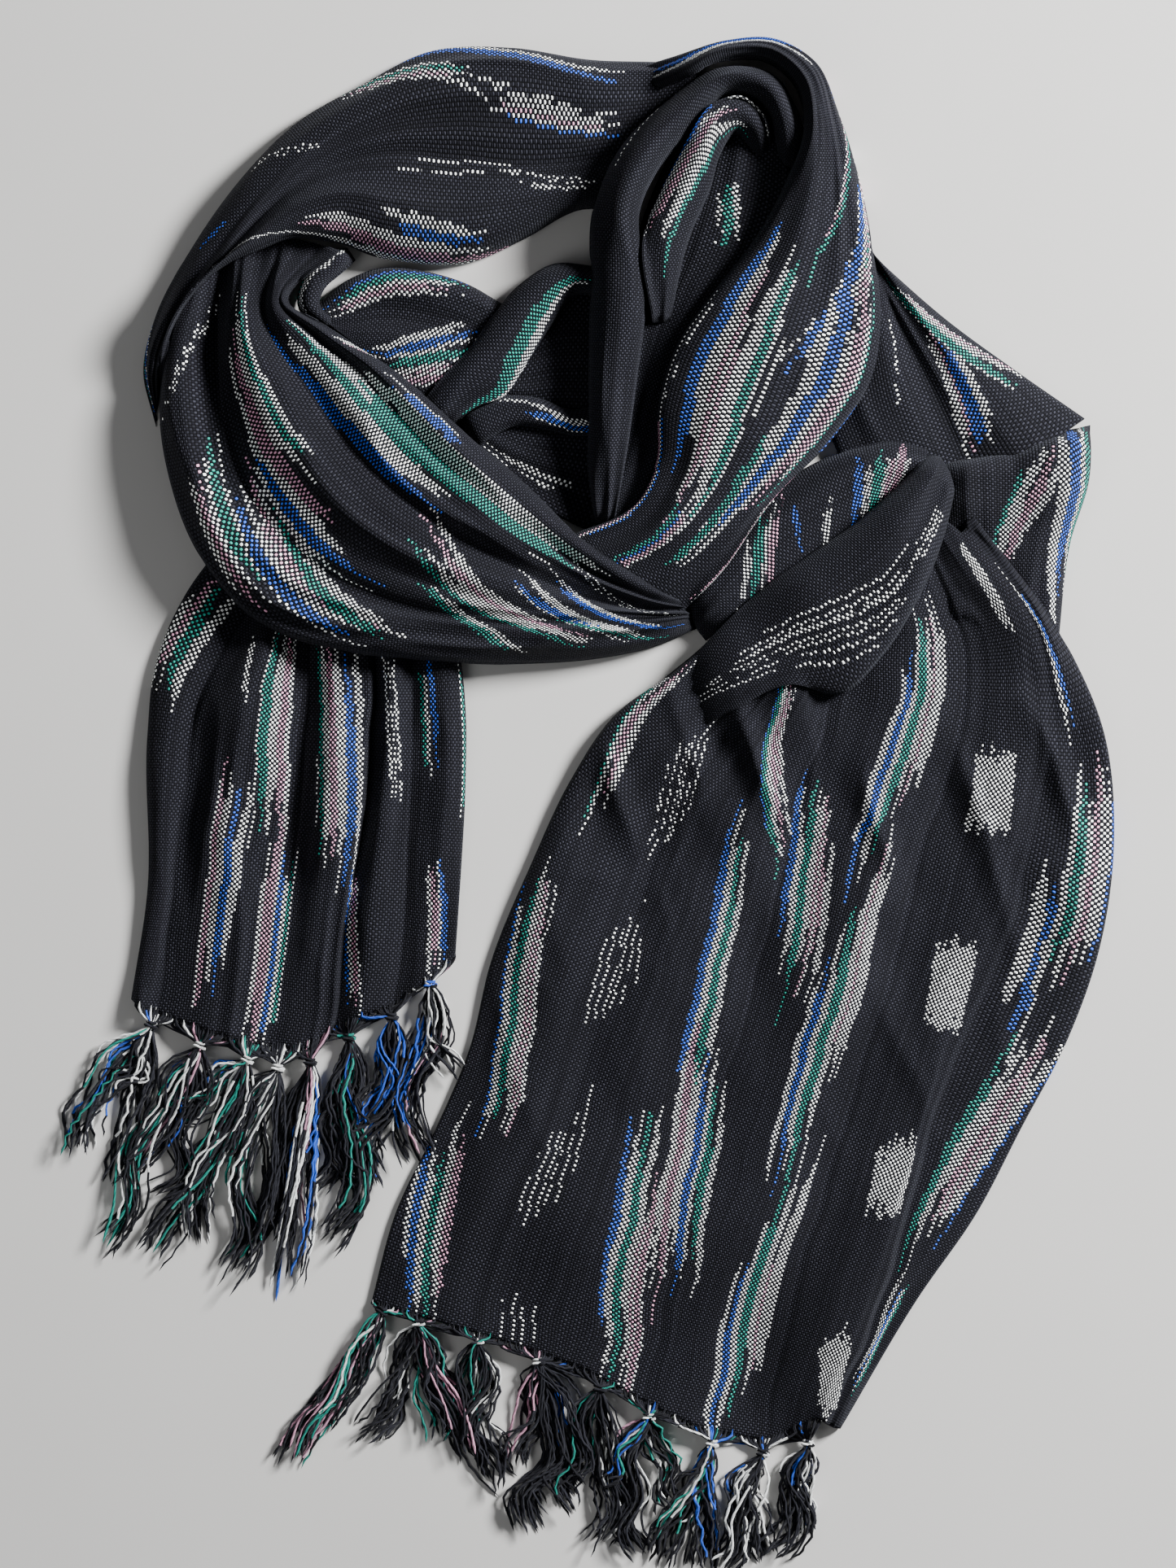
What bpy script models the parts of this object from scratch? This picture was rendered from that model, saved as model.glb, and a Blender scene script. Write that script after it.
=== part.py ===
"""A rebozo shawl lying on a flat surface: one woven length of gathered cloth in a loop, with both of its
fringed ends brought out in front. +Z is up, the cloth rests on z = 0 and the origin is at the bottom centre
of its box.

Every stretch of the cloth is a surface through its folds. A fold is a line along the cloth with a height
above the floor, and the surface rises to each crest and drops into each valley between them. Plan places and
heights are in centimetres, x to the right and y away from the hems.
"""
import math
from collections import namedtuple

import bmesh
import bpy
import numpy as np
from mathutils import Vector
from mathutils.bvhtree import BVHTree

CM = 0.01
PLAN_SHIFT = (0.0, 0.45)      # cm, brings the middle of the shawl's box to the origin
CLOTH_WALL = 0.26             # cm, a doubled layer of gauzy cotton as it lies
SEAM_GAP = 0.035              # cm, between a stretch and what it lies on
CELL_ALONG = 2.0              # cm, size of a face along a heaped stretch
CELL_ALONG_TAIL = 3.2         # cm, the same on the flat ends
CELL_ACROSS = 1.3             # cm, size of a face across the cloth
CLEARANCE_REACH = 1.0         # cm, how far round a point the cloth below is felt
START_CROWDING = 1.5          # power that draws a flat end's rows of faces towards its gathered start

TASSEL_HEAD = dict(width=1.0, depth=0.5, gap=0.04)   # cm, a tassel's knot and its gap to the hem
KNOT_LEVELS = (0.0, 0.12, 0.26, 0.42)   # cm, edges of the rows of cells in a knot's outer face
STRAND_THICK = 0.13           # cm, side of a strand's square section
STRAND_RISE = (0.15, 0.42)    # cm, height of each row of strands
STRAND_SAG = (0.02, 0.04)     # cm, how far each row sinks by its end
STRAND_UNEVEN = 0.05          # of the length, the step between a long strand and a shorter one
ROW_SHIFT = 0.06              # of the fan, how far the upper row is turned from the lower
STRAND_COLUMNS = 4            # strands side by side in each of a tassel's two rows
STRAND_STEPS = 3              # straight pieces in a strand

CREST, VALLEY, SLOPE, EDGE, STEP = "crest", "valley", "slope", "edge", "step"
ROUND_SHARE = {EDGE: 0.85, VALLEY: 0.35}   # how much of the fall to this kind of fold is a round roll
SKY = 50.0                    # cm, above all the cloth
Fold = namedtuple("Fold", "name kind lift path")
Stretch = namedtuple("Stretch", "name filled lies_on folds")
Tassel = namedtuple("Tassel", "hem share heading length fan")

LEFT_TAIL = Stretch("left_tail", False, (), (
    Fold("left edge", EDGE, (0.35, 0.3),
         ((-18.0, 12.6), (-19.9, 10), (-21.4, 6.5), (-21.8, 3), (-21.8, -4.6), (-22.6, -9.9))),
    Fold("edge swell", CREST, (1.1, 0.9, 0.6),
         ((-16.8, 11.8), (-18.6, 8.8), (-20.2, 5.6), (-20.8, 2.4), (-21.1, -4.4), (-22.0, -10.3))),
    Fold("first valley", VALLEY, (0.5, 0.32, 0.3),
         ((-15.6, 11.0), (-17.1, 8.6), (-19.0, 5.2), (-19.7, 1.6), (-20.5, -4.6), (-21.2, -10.6))),
    Fold("broad ridge", CREST, (1.2, 1.7, 1.3, 0.9),
         ((-14.7, 10.6), (-15.7, 8.2), (-16.7, 5.2), (-17.2, 1.6), (-18.0, -5), (-18.7, -11.5))),
    Fold("second valley", VALLEY, (0.6, 0.32, 0.3),
         ((-13.6, 10.2), (-13.8, 8), (-13.9, 5.2), (-14.1, 1.6), (-14.9, -5.2), (-15.9, -12.2))),
    Fold("middle ridge", CREST, (1.2, 1.6, 1.2, 0.8),
         ((-12.4, 10.0), (-12.4, 7.8), (-12.4, 5), (-12.5, 1.6), (-13.3, -5), (-14.1, -12.3))),
    Fold("layer edge", STEP, (1.3, 1.1, 0.7),
         ((-11.1, 9.8), (-10.95, 7.2), (-10.95, 4.6), (-11.1, 1.4), (-12.1, -5), (-12.9, -11.4))),
    Fold("under the layer edge", VALLEY, (0.5, 0.32, 0.3),
         ((-10.8, 9.8), (-10.65, 7.2), (-10.65, 4.6), (-10.8, 1.4), (-11.8, -5), (-12.6, -11.2))),
    Fold("third ridge", CREST, (1.3, 1.2, 0.8),
         ((-9.8, 9.6), (-9.8, 7), (-9.8, 4.4), (-9.9, 1.2), (-10.7, -4.8), (-11.2, -10.6))),
    Fold("third valley", VALLEY, (0.6, 0.32, 0.3),
         ((-8.9, 9.4), (-8.85, 6.8), (-8.8, 4), (-8.85, 1), (-9.2, -4.6), (-9.7, -10.2))),
    Fold("last ridge", CREST, (1.4, 1.3, 0.7),
         ((-7.7, 9.2), (-7.4, 6.6), (-7.2, 4), (-7.2, 1), (-7.5, -4.2), (-7.9, -8.8))),
    Fold("right edge", EDGE, (0.4, 0.3),
         ((-6.9, 9.0), (-6.4, 6.4), (-6.2, 4), (-6.2, 1), (-6.45, -4), (-6.7, -7.8))),
))

RIGHT_TAIL = Stretch("right_tail", False, ("shoulder", "neck"), (
    Fold("left edge", EDGE, (1.7, 0.9, 0.4, 0.3, 0.3, 0.3),
         ((6.9, 8.6), (4.2, 6.2), (1.2, 4), (-1, 0.8), (-3.0, -3.4), (-4.9, -8), (-6.0, -12.4),
          (-7.6, -16.2), (-9.6, -20.4), (-10.8, -24.8))),
    Fold("left swell", CREST, (2.1, 1.5, 1.1, 0.9, 0.8, 0.5),
         ((8.8, 8.5), (6.0, 5.4), (3.6, 2.6), (1.2, -0.8), (-0.8, -5), (-2.2, -9.2), (-3.4, -13.4),
          (-5.1, -17.8), (-6.8, -22), (-7.8, -25.6))),
    Fold("soft valley", VALLEY, (1.8, 1.0, 0.7, 0.7, 0.7, 0.45),
         ((10.4, 8.2), (7.9, 4.6), (5.8, 1.8), (3.8, -1.6), (2.2, -5.4), (0.9, -9.4), (-0.4, -13.4),
          (-2.0, -18), (-3.6, -22.4), (-4.7, -26.6))),
    Fold("middle swell", CREST, (2.0, 1.4, 1.4, 1.2, 1.2, 0.7),
         ((12.0, 7.8), (9.7, 4), (8.3, 1), (7.1, -2.4), (5.9, -6.6), (4.6, -10.8), (3.4, -15), (2.1, -19.2),
          (0.8, -23.4), (-0.3, -28))),
    Fold("hollow below the roll", VALLEY, (1.2, 0.6, 0.6, 0.8, 0.9, 0.5),
         ((12.8, 9.6), (11.6, 4), (10.5, 1), (9.7, -2.4), (8.7, -6.6), (7.6, -10.6), (6.3, -14.8),
          (5.1, -19), (4.0, -23.2), (2.6, -29.6))),
    Fold("stripe swell", CREST, (1.9, 1.4, 1.2, 1.2, 1.1, 0.7),
         ((14.8, 11.4), (15.5, 6), (14.4, 1.6), (13.3, -2.2), (12.2, -6.6), (10.9, -10.8), (9.6, -14.8),
          (8.4, -18.8), (7.1, -22.8), (5.6, -31))),
    Fold("far hollow", VALLEY, (1.6, 0.9, 0.6, 0.6, 0.6, 0.4),
         ((16.0, 13.2), (18.2, 6.8), (17.6, 2), (16.4, -2), (15.2, -6.6), (14.0, -10.8), (12.8, -14.8),
          (11.5, -18.8), (10.2, -23), (8.4, -31.6))),
    Fold("patch ridge", CREST, (2.4, 1.5, 1.2, 1.4, 1.4, 0.9),
         ((17.2, 13.6), (20.6, 7.8), (21.2, 2.6), (20.4, -2), (19.1, -6.8), (17.6, -11), (16.2, -15),
          (15.2, -19), (13.7, -23.6), (11.0, -30.4))),
    Fold("pleat edge", STEP, (2.3, 1.3, 1.0, 1.2, 1.2, 0.8),
         ((18.0, 12.9), (21.2, 8.0), (21.9, 2.8), (21.2, -2), (19.9, -6.9), (18.3, -11), (16.7, -15),
          (15.6, -19.1), (14.1, -23.8), (11.4, -30.6))),
    Fold("under the pleat", VALLEY, (2.2, 1.2, 0.85, 0.7, 0.4, 0.3),
         ((18.2, 13.1), (21.6, 8.1), (22.3, 2.9), (21.6, -2), (20.3, -7), (18.7, -11.1), (17.05, -15.1),
          (15.95, -19.3), (14.4, -24), (11.7, -30.8))),
    Fold("right swell", CREST, (2.1, 1.2, 1.1, 0.9, 0.6, 0.4),
         ((18.3, 13.4), (22.1, 8.2), (23.6, 3.2), (23.6, -2), (22.6, -7.4), (20.8, -11.8), (18.9, -15.8),
          (17.2, -19.6), (15.2, -24.2), (11.95, -30.9))),
    Fold("right edge", EDGE, (1.9, 0.9, 0.5, 0.3, 0.3, 0.3),
         ((18.6, 13.7), (22.9, 8.0), (25.1, 3), (25.6, -1.6), (24.9, -7.4), (23.3, -12), (21.1, -16.2),
          (18.9, -20.4), (16.0, -24.6), (12.2, -31.0))),
))

LOWER_BAND = Stretch("lower_band", True, ("left_tail", "inner_bed", "inner_loop", "inner_leaf", "inner_roll",
                                          "inner_hem", "right_arc", "neck"), (
    Fold("outer edge", EDGE, (0.3, 0.3, 0.5, 1.9, 1.9, 0.4, 0.4),
         ((-19.9, 25.4), (-21.0, 21.5), (-21.2, 18.6), (-20.7, 15.6), (-19.4, 12.2), (-16.4, 8.7),
          (-12, 7.2), (-8, 6.75), (-4, 6.6), (0, 6.8), (3.0, 7.4), (5.2, 8.3))),
    Fold("outer ridge", CREST, (1.3, 2.6, 2.9, 3.0, 2.8, 2.4, 2.0),
         ((-19.0, 26.2), (-19.9, 21.6), (-19.8, 18.6), (-19.1, 15.4), (-17.4, 12.4), (-14.4, 10),
          (-11, 8.9), (-7.6, 8.3), (-4, 7.9), (0, 7.8), (3.0, 8.1), (5.1, 8.6))),
    Fold("crevice", VALLEY, (0.8, 1.3, 1.8, 2.4, 2.4, 2.2, 1.9),
         ((-18.2, 26.9), (-18.3, 22), (-18.0, 18.6), (-17.3, 15.8), (-15.6, 13.3), (-13, 11.2), (-10, 9.8),
          (-7, 9), (-4, 8.6), (0, 8.4), (3.0, 8.5), (5.0, 8.8))),
    Fold("striped ridge", CREST, (0.9, 3.0, 3.6, 3.6, 3.3, 2.8, 2.2),
         ((-16.8, 27.2), (-17.0, 22.6), (-16.1, 19.4), (-14.8, 16.8), (-12.8, 14.2), (-10.2, 12.2),
          (-7.6, 10.9), (-5, 10), (-2.6, 9.5), (0.6, 9.0), (3.2, 8.9), (4.95, 8.95))),
    Fold("long valley", VALLEY, (0.8, 2.2, 2.8, 2.9, 2.8, 2.5, 2.1),
         ((-15.4, 27.3), (-15.9, 23.4), (-13.9, 20), (-12.2, 17.6), (-10.2, 15.4), (-8.2, 13.8), (-6, 12.4),
          (-3.8, 11.2), (-1.8, 10.3), (1.0, 9.4), (3.3, 9.1), (4.9, 9.1))),
    Fold("middle ridge", CREST, (0.9, 2.8, 3.6, 3.6, 3.3, 2.8, 2.2),
         ((-14.2, 27.3), (-15.4, 23.9), (-14.0, 22.4), (-12.2, 20.2), (-10.4, 17.9), (-8.4, 15.8),
          (-6.4, 14.2), (-4.6, 12.8), (-2.8, 11.7), (-1.0, 10.8), (1.4, 9.8), (3.4, 9.3), (4.85, 9.2))),
    Fold("upper valley", VALLEY, (0.9, 2.2, 2.9, 3.0, 2.8, 2.5, 2.1),
         ((-13.4, 27.1), (-15.2, 24.1), (-13.5, 22.5), (-11.2, 20.5), (-9.3, 18.4), (-7.3, 16.3),
          (-5.4, 14.7), (-3.8, 13.4), (-2.2, 12.3), (-0.6, 11.2), (1.7, 10.1), (3.5, 9.5), (4.8, 9.3))),
    Fold("upper ridge", CREST, (1.1, 2.4, 3.3, 3.3, 3.1, 2.7, 2.2),
         ((-12.8, 26.9), (-15.0, 24.2), (-13.2, 22.8), (-10.3, 20.7), (-8.4, 18.8), (-6.4, 16.8),
          (-4.6, 15.3), (-3.1, 14.0), (-1.7, 12.8), (-0.2, 11.7), (1.9, 10.4), (3.6, 9.7), (4.75, 9.4))),
    Fold("upper edge", EDGE, (0.9, 1.4, 1.8, 1.8, 1.8, 1.8, 1.7),
         ((-12.3, 26.7), (-14.8, 24.2), (-12.9, 23.0), (-11.4, 22.0), (-9.6, 20.8), (-7.6, 19.1),
          (-5.7, 17.3), (-3.9, 15.8), (-2.5, 14.5), (-1.2, 13.2), (0.2, 12.1), (2.2, 10.8), (3.7, 9.9),
          (4.7, 9.5))),
))

TOP_ARC = Stretch("top_arc", True, ("lower_band", "inner_loop", "inner_leaf"), (
    Fold("outer edge", EDGE, (0.3, 0.3),
         ((3.2, 36.1), (0, 36.2), (-4, 36.8), (-8, 36.6), (-11.2, 35), (-14.6, 33), (-17.0, 30.6),
          (-19.6, 27), (-21.4, 23.6), (-22.0, 21), (-21.4, 18.2))),
    Fold("outer ridge", CREST, (1.5, 2.1, 2.3, 2.3, 2.2, 1.9, 1.2),
         ((3.2, 34.8), (0, 34.7), (-4, 35.2), (-7.8, 34.9), (-10.8, 33.7), (-13.6, 31.8), (-16, 29.6),
          (-18.4, 26.5), (-20.6, 23.4), (-21.5, 20.9), (-21.4, 18.8))),
    Fold("long valley", VALLEY, (1.0, 1.2, 1.5, 1.8, 2.0, 2.0, 1.4),
         ((3.2, 32.2), (0, 31.2), (-3.4, 30.9), (-6.8, 31.2), (-10, 31.4), (-13.0, 30.7), (-15.4, 28.9),
          (-17.8, 26.4), (-20.0, 23.8), (-21.1, 21.2), (-21.3, 19.2))),
    Fold("inner ridge", CREST, (1.4, 2.1, 2.6, 3.0, 3.1, 2.6, 1.6),
         ((2.4, 30.4), (-0.4, 29.4), (-3, 28.8), (-6, 28.3), (-9.4, 28.4), (-12.4, 28.9), (-14.6, 28.2),
          (-16.8, 26.9), (-19.2, 24.9), (-20.8, 22.4), (-21.2, 19.8))),
    Fold("selvedge", EDGE, (0.8, 0.5, 0.5, 0.8, 2.4, 2.2, 1.3),
         ((2.0, 29.2), (-0.8, 28.8), (-3.2, 27.5), (-6, 26.3), (-9.6, 26.3), (-12.4, 27.1), (-14.4, 27.4),
          (-16.4, 26.7), (-18.6, 25.5), (-20.3, 23.2), (-21.0, 20.2))),
))

RIGHT_ARC = Stretch("right_arc", True, ("top_arc", "far_band", "shoulder", "neck", "hump_roll", "inner_slope",
                                        "inner_bed"), (
    Fold("inner edge", EDGE, (1.6, 1.9, 2.3, 2.6, 2.6, 2.8, 3.0, 2.4),
         ((-1.0, 12.7), (2.3, 14.5), (3.2, 16.4), (3.3, 19), (4.2, 22), (6.0, 24.6), (8.0, 27.2), (9.5, 30),
          (10.3, 32.6), (10.0, 34.6), (8.6, 35.9), (6.6, 35.9), (4.6, 35.0), (1.8, 34.3))),
    Fold("face crest", CREST, (2.0, 2.8, 3.4, 3.7, 3.8, 3.9, 3.9, 2.6),
         ((0.2, 11.6), (3.2, 13), (5.0, 15.4), (6.0, 18.4), (7.2, 21.4), (8.6, 24.2), (9.9, 27), (10.7, 30),
          (10.9, 32.8), (10.4, 35), (8.8, 36.3), (6.6, 36.3), (4.3, 35.4), (1.6, 34.6))),
    Fold("stripe valley", VALLEY, (1.8, 2.4, 2.9, 3.2, 3.3, 3.5, 3.5, 2.4),
         ((1.2, 10.6), (4.4, 12.2), (6.8, 14.8), (8.6, 17.8), (9.8, 20.8), (10.8, 23.8), (11.5, 27),
          (11.7, 30), (11.4, 32.9), (10.7, 35.3), (8.9, 36.55), (6.5, 36.55), (4.2, 35.7), (1.4, 34.9))),
    Fold("outer crest", CREST, (1.7, 2.3, 2.6, 2.8, 2.9, 2.9, 2.8, 2.0),
         ((2.6, 9.6), (5.2, 11.4), (8.0, 14.4), (10.4, 17.3), (12.2, 20.3), (12.9, 23.8), (12.8, 27),
          (12.4, 30), (11.8, 33.1), (10.9, 35.6), (8.95, 36.8), (6.45, 36.75), (4.1, 36.0), (1.3, 35.2))),
    Fold("outer edge", EDGE, (1.2, 1.5, 1.7, 1.5, 0.8, 0.4, 0.4, 0.3),
         ((4.0, 8.7), (6.1, 10.7), (8.8, 14.5), (11.4, 17.2), (13.7, 20.6), (14.1, 24), (13.7, 27),
          (13.1, 30.2), (12.1, 33.5), (11.0, 35.9), (9.0, 37.05), (6.4, 36.95), (4.0, 36.25), (1.2, 35.5))),
))

HUMP_ROLL = Stretch("hump_roll", True, ("top_arc", "inner_bed", "inner_slope", "inner_roll", "inner_hem"), (
    Fold("outer edge", EDGE, (1.6, 1.8, 1.8, 1.7, 1.4),
         ((10.4, 30.4), (10.2, 33), (8.9, 35.2), (6.4, 35.6), (3.6, 33.9), (1.2, 31.4), (0.1, 28.6),
          (0.0, 25), (-0.1, 20), (-0.1, 15.6), (0.2, 13.2))),
    Fold("crest", CREST, (3.4, 4.0, 4.2, 3.8, 2.9, 1.5),
         ((9.7, 30.4), (9.5, 32.7), (8.4, 34.5), (6.5, 34.9), (4.4, 33.3), (2.3, 31), (1.2, 28.7),
          (1.4, 26), (1.0, 20), (0.7, 15.4), (0.6, 13.1))),
    Fold("inner edge", EDGE, (2.2, 2.6, 2.6, 2.2, 1.6),
         ((9.1, 30.4), (8.9, 32.3), (8.1, 33.9), (6.6, 34.2), (5.1, 32.7), (3.2, 30.6), (2.3, 28.6),
          (2.6, 25.6), (2.1, 20), (1.4, 15.2), (1.0, 13.0))),
))

HUMP_PATCH = Stretch("hump_patch", True, ("inner_bed", "inner_slope", "hump_roll"), (
    Fold("left edge", EDGE, (1.3, 2.2, 2.2, 1.8),
         ((3.0, 23.0), (2.5, 27.2), (3.5, 29.8), (4.6, 31.8), (5.9, 33.6), (7.2, 34), (8.3, 33.2),
          (8.8, 31))),
    Fold("crest", CREST, (1.6, 3.2, 3.4, 2.8),
         ((3.4, 23.0), (3.6, 27.2), (4.6, 29.8), (5.4, 31.5), (6.3, 32.9), (7.1, 33.2), (7.8, 32.6),
          (8.3, 31))),
    Fold("right edge", EDGE, (1.3, 2.0, 2.0, 1.6),
         ((3.8, 23.0), (4.7, 27.2), (5.8, 29.8), (6.2, 31.2), (6.7, 32.1), (7.0, 32.4), (7.4, 32),
          (7.8, 31))),
))

INNER_SLOPE = Stretch("inner_slope", True, ("inner_bed", "inner_hem"), (
    Fold("left edge", EDGE, (1.4, 1.2, 0.9),
         ((4.8, 33.6), (2.2, 27), (1.6, 22), (0.8, 17), (0.0, 13.6))),
    Fold("trough", VALLEY, (1.5, 1.3, 1.0),
         ((6.9, 34.5), (4.9, 27), (3.0, 22), (1.8, 17), (0.6, 13.3))),
    Fold("slope", SLOPE, (1.9, 1.8, 1.2),
         ((8.6, 34.6), (7.2, 27), (4.4, 22), (2.8, 17), (1.2, 13.0))),
    Fold("right edge", EDGE, (2.0, 1.9, 1.3),
         ((9.6, 34.0), (9.0, 27), (5.4, 22), (3.9, 17), (1.8, 12.7))),
))

INNER_BED = Stretch("inner_bed", True, (), (
    Fold("upper edge", EDGE, (0.4, 0.4),
         ((-12.6, 24.4), (-9, 24.6), (-6, 24.2), (-4, 23.6), (-1.6, 25), (0.4, 24.8), (2.0, 24))),
    Fold("upper swell", CREST, (0.8, 0.8),
         ((-11.8, 23.3), (-9.2, 22.4), (-6.6, 21.6), (-4, 21), (-1.6, 21.4), (0.6, 21.4), (2.6, 21))),
    Fold("trough", VALLEY, (0.6, 0.6),
         ((-10.8, 22.2), (-8.4, 20.4), (-5.8, 18.6), (-3.4, 17.4), (-1.2, 17.2), (0.8, 17), (2.8, 17))),
    Fold("lower edge", EDGE, (0.5, 0.5),
         ((-10.2, 21.2), (-7.6, 18.8), (-5, 16.6), (-2.8, 14.6), (-0.8, 13.4), (1.0, 12.8), (2.6, 12.6))),
))

INNER_LEAF = Stretch("inner_leaf", True, ("inner_bed",), (
    Fold("upper edge", EDGE, (0.5, 0.8, 0.5),
         ((-13.6, 24.0), (-12.2, 25.2), (-10.4, 25.9), (-8, 25.7), (-6, 25.1), (-4.4, 24.2))),
    Fold("rim", CREST, (1.4, 1.8, 1.4),
         ((-13.4, 23.7), (-12.0, 24.6), (-10.2, 25.1), (-8.1, 24.9), (-6.3, 24.4), (-4.7, 23.6))),
    Fold("dark fold", VALLEY, (1.2, 1.2, 1.2),
         ((-13.1, 23.3), (-11.8, 23.2), (-10.2, 23.4), (-8.4, 23.2), (-6.8, 22.8), (-5.2, 22.2))),
    Fold("striped fold", CREST, (1.3, 1.7, 1.7),
         ((-12.4, 22.8), (-11.2, 22.0), (-9.9, 21.8), (-8.7, 21.4), (-7.6, 20.8), (-6.4, 20.2))),
    Fold("lower edge", EDGE, (1.0, 1.1, 1.0),
         ((-11.8, 22.2), (-10.8, 21.2), (-9.8, 20.4), (-8.9, 19.8), (-8.0, 19.2), (-7.0, 18.8))),
))

INNER_ROLL = Stretch("inner_roll", True, ("inner_bed", "inner_leaf", "inner_hem"), (
    Fold("left edge", EDGE, (1.0, 1.4, 1.2),
         ((-8.8, 18.6), (-7.4, 20.4), (-6.0, 21.9), (-4.8, 23.6), (-3.4, 25.1), (-2.0, 26.0), (0.6, 25.9))),
    Fold("crest", CREST, (1.8, 2.4, 2.3),
         ((-7.9, 18.3), (-6.6, 19.9), (-5.2, 21.2), (-4.0, 22.7), (-2.7, 24.3), (-1.4, 25.3), (0.8, 25.3))),
    Fold("striped edge", EDGE, (0.9, 1.2, 1.2),
         ((-7.0, 18.0), (-5.6, 19.1), (-4.3, 19.6), (-3.2, 21.2), (-2.0, 23.1), (-0.8, 24.6), (1.0, 24.5))),
))

INNER_HEM = Stretch("inner_hem", True, ("inner_bed",), (
    Fold("upper edge", EDGE, (0.9, 0.9),
         ((-6.6, 18.5), (-4.0, 19.7), (-2.4, 19.5), (-1.0, 19.0), (0.2, 19.3), (0.8, 20.6))),
    Fold("crest", CREST, (1.5, 1.5),
         ((-6.2, 17.8), (-3.8, 19.0), (-2.3, 18.8), (-0.8, 18.3), (0.7, 18.7), (1.3, 20.4))),
    Fold("lower edge", EDGE, (0.9, 0.9),
         ((-5.8, 17.1), (-3.6, 18.2), (-2.2, 18.0), (-0.6, 17.7), (1.1, 18.1), (1.9, 20.2))),
))

INNER_LOOP = Stretch("inner_loop", True, ("inner_leaf", "inner_bed"), (
    Fold("outer edge", EDGE, (1.0, 1.2, 1.2),
         ((-12.9, 22.8), (-14.3, 24.0), (-14.0, 25.4), (-12.9, 26.4), (-12.0, 27.0))),
    Fold("crest", CREST, (1.9, 2.2, 1.9),
         ((-12.6, 23.0), (-13.8, 24.1), (-13.6, 25.1), (-12.6, 26.0), (-11.8, 26.7))),
    Fold("inner edge", EDGE, (1.2, 1.4, 1.2),
         ((-12.4, 23.2), (-13.3, 24.2), (-13.1, 24.9), (-12.3, 25.7), (-11.6, 26.4))),
))

FAR_BAND = Stretch("far_band", True, (), (
    Fold("left edge", EDGE, (0.5, 0.6, 0.8),
         ((12.2, 26.6), (11.6, 23), (11.2, 19.6), (12.4, 16.2))),
    Fold("dark ridge", CREST, (1.2, 1.6, 1.4),
         ((13.2, 26.8), (13.9, 23), (14.6, 19.6), (16.0, 16.0))),
    Fold("stripe valley", VALLEY, (0.9, 1.1, 1.1),
         ((13.5, 26.8), (15.2, 23), (16.9, 19.6), (18.5, 16.0))),
    Fold("outer ridge", CREST, (1.1, 1.6, 1.6),
         ((13.7, 26.7), (16.2, 23.4), (18.7, 20.2), (21.4, 16.6))),
    Fold("outer edge", EDGE, (0.3, 0.3),
         ((13.9, 26.5), (17.6, 23.3), (20.6, 21.1), (24.2, 18.6))),
))

SHOULDER = Stretch("shoulder", True, ("far_band", "neck"), (
    Fold("left edge", EDGE, (1.6, 1.5),
         ((16.9, 16.4), (17.0, 13.8), (17.2, 11.4), (17.6, 9))),
    Fold("left crest", CREST, (2.8, 2.3, 1.6, 1.6, 1.6),
         ((18.2, 16.6), (18.4, 13.8), (18.7, 11.2), (19.0, 8.6))),
    Fold("soft valley", VALLEY, (2.2, 1.6, 1.1),
         ((20.6, 17.1), (20.6, 14), (20.5, 11.2), (20.6, 8.2))),
    Fold("striped crest", CREST, (2.6, 2.2, 1.5, 1.5, 1.5),
         ((23.2, 18.0), (23.0, 15), (22.2, 12), (21.9, 7.9))),
    Fold("right edge", EDGE, (0.4, 0.3),
         ((24.5, 18.3), (24.4, 15.6), (23.5, 12.6), (22.9, 7.6))),
))

NECK = Stretch("neck", True, ("far_band",), (
    Fold("upper edge", EDGE, (0.8, 0.9),
         ((4.2, 9.4), (7.0, 13.3), (10.0, 15.8), (12.6, 17.0), (15.0, 17.4), (16.4, 17.0))),
    Fold("crest", CREST, (2.0, 2.3, 2.2),
         ((4.8, 8.7), (7.8, 12.1), (10.3, 14), (12.7, 15.4), (14.9, 16.2), (16.3, 16.2))),
    Fold("lower edge", EDGE, (1.1, 1.2),
         ((5.6, 7.7), (8.4, 9.5), (10.8, 11.4), (12.8, 13), (14.7, 14.6), (16.1, 15.3))),
))

HOOD = Stretch("hood", True, ("right_tail", "neck", "shoulder"), (
    Fold("upper edge", EDGE, (2.0, 2.0, 2.0, 1.6, 1.1),
         ((16.6, 16.9), (14.8, 15.1), (13, 13.5), (11, 12.1), (9, 10.7), (7, 9.0), (5.2, 7.2), (3.6, 5.9))),
    Fold("crest", CREST, (3.4, 4.2, 3.9, 2.6, 1.5),
         ((17.1, 16.7), (15.7, 14.3), (14, 12.1), (12, 10.4), (10, 8.9), (8, 7.3), (6.0, 5.9), (3.9, 4.6))),
    Fold("lower slope", SLOPE, (3.0, 3.8, 3.2, 2.0, 1.3),
         ((17.5, 16.2), (16.6, 13.6), (15.3, 10.8), (13.4, 8.5), (11.1, 7.2), (8.8, 6.1), (6.6, 4.9),
          (4.3, 3.7))),
    Fold("lower edge", EDGE, (2.2, 2.4, 2.2, 1.6, 1.1),
         ((17.8, 15.6), (17.2, 12.9), (16.0, 9.9), (14.2, 7), (12.1, 5.1), (9.6, 5.5), (7.0, 4.3),
          (4.7, 3.0))),
))

STRETCHES = (LEFT_TAIL, INNER_BED, FAR_BAND, NECK, SHOULDER, RIGHT_TAIL, INNER_HEM, INNER_SLOPE, INNER_LEAF,
             INNER_ROLL, INNER_LOOP, TOP_ARC, HUMP_ROLL, HUMP_PATCH, RIGHT_ARC, LOWER_BAND, HOOD)

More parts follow.
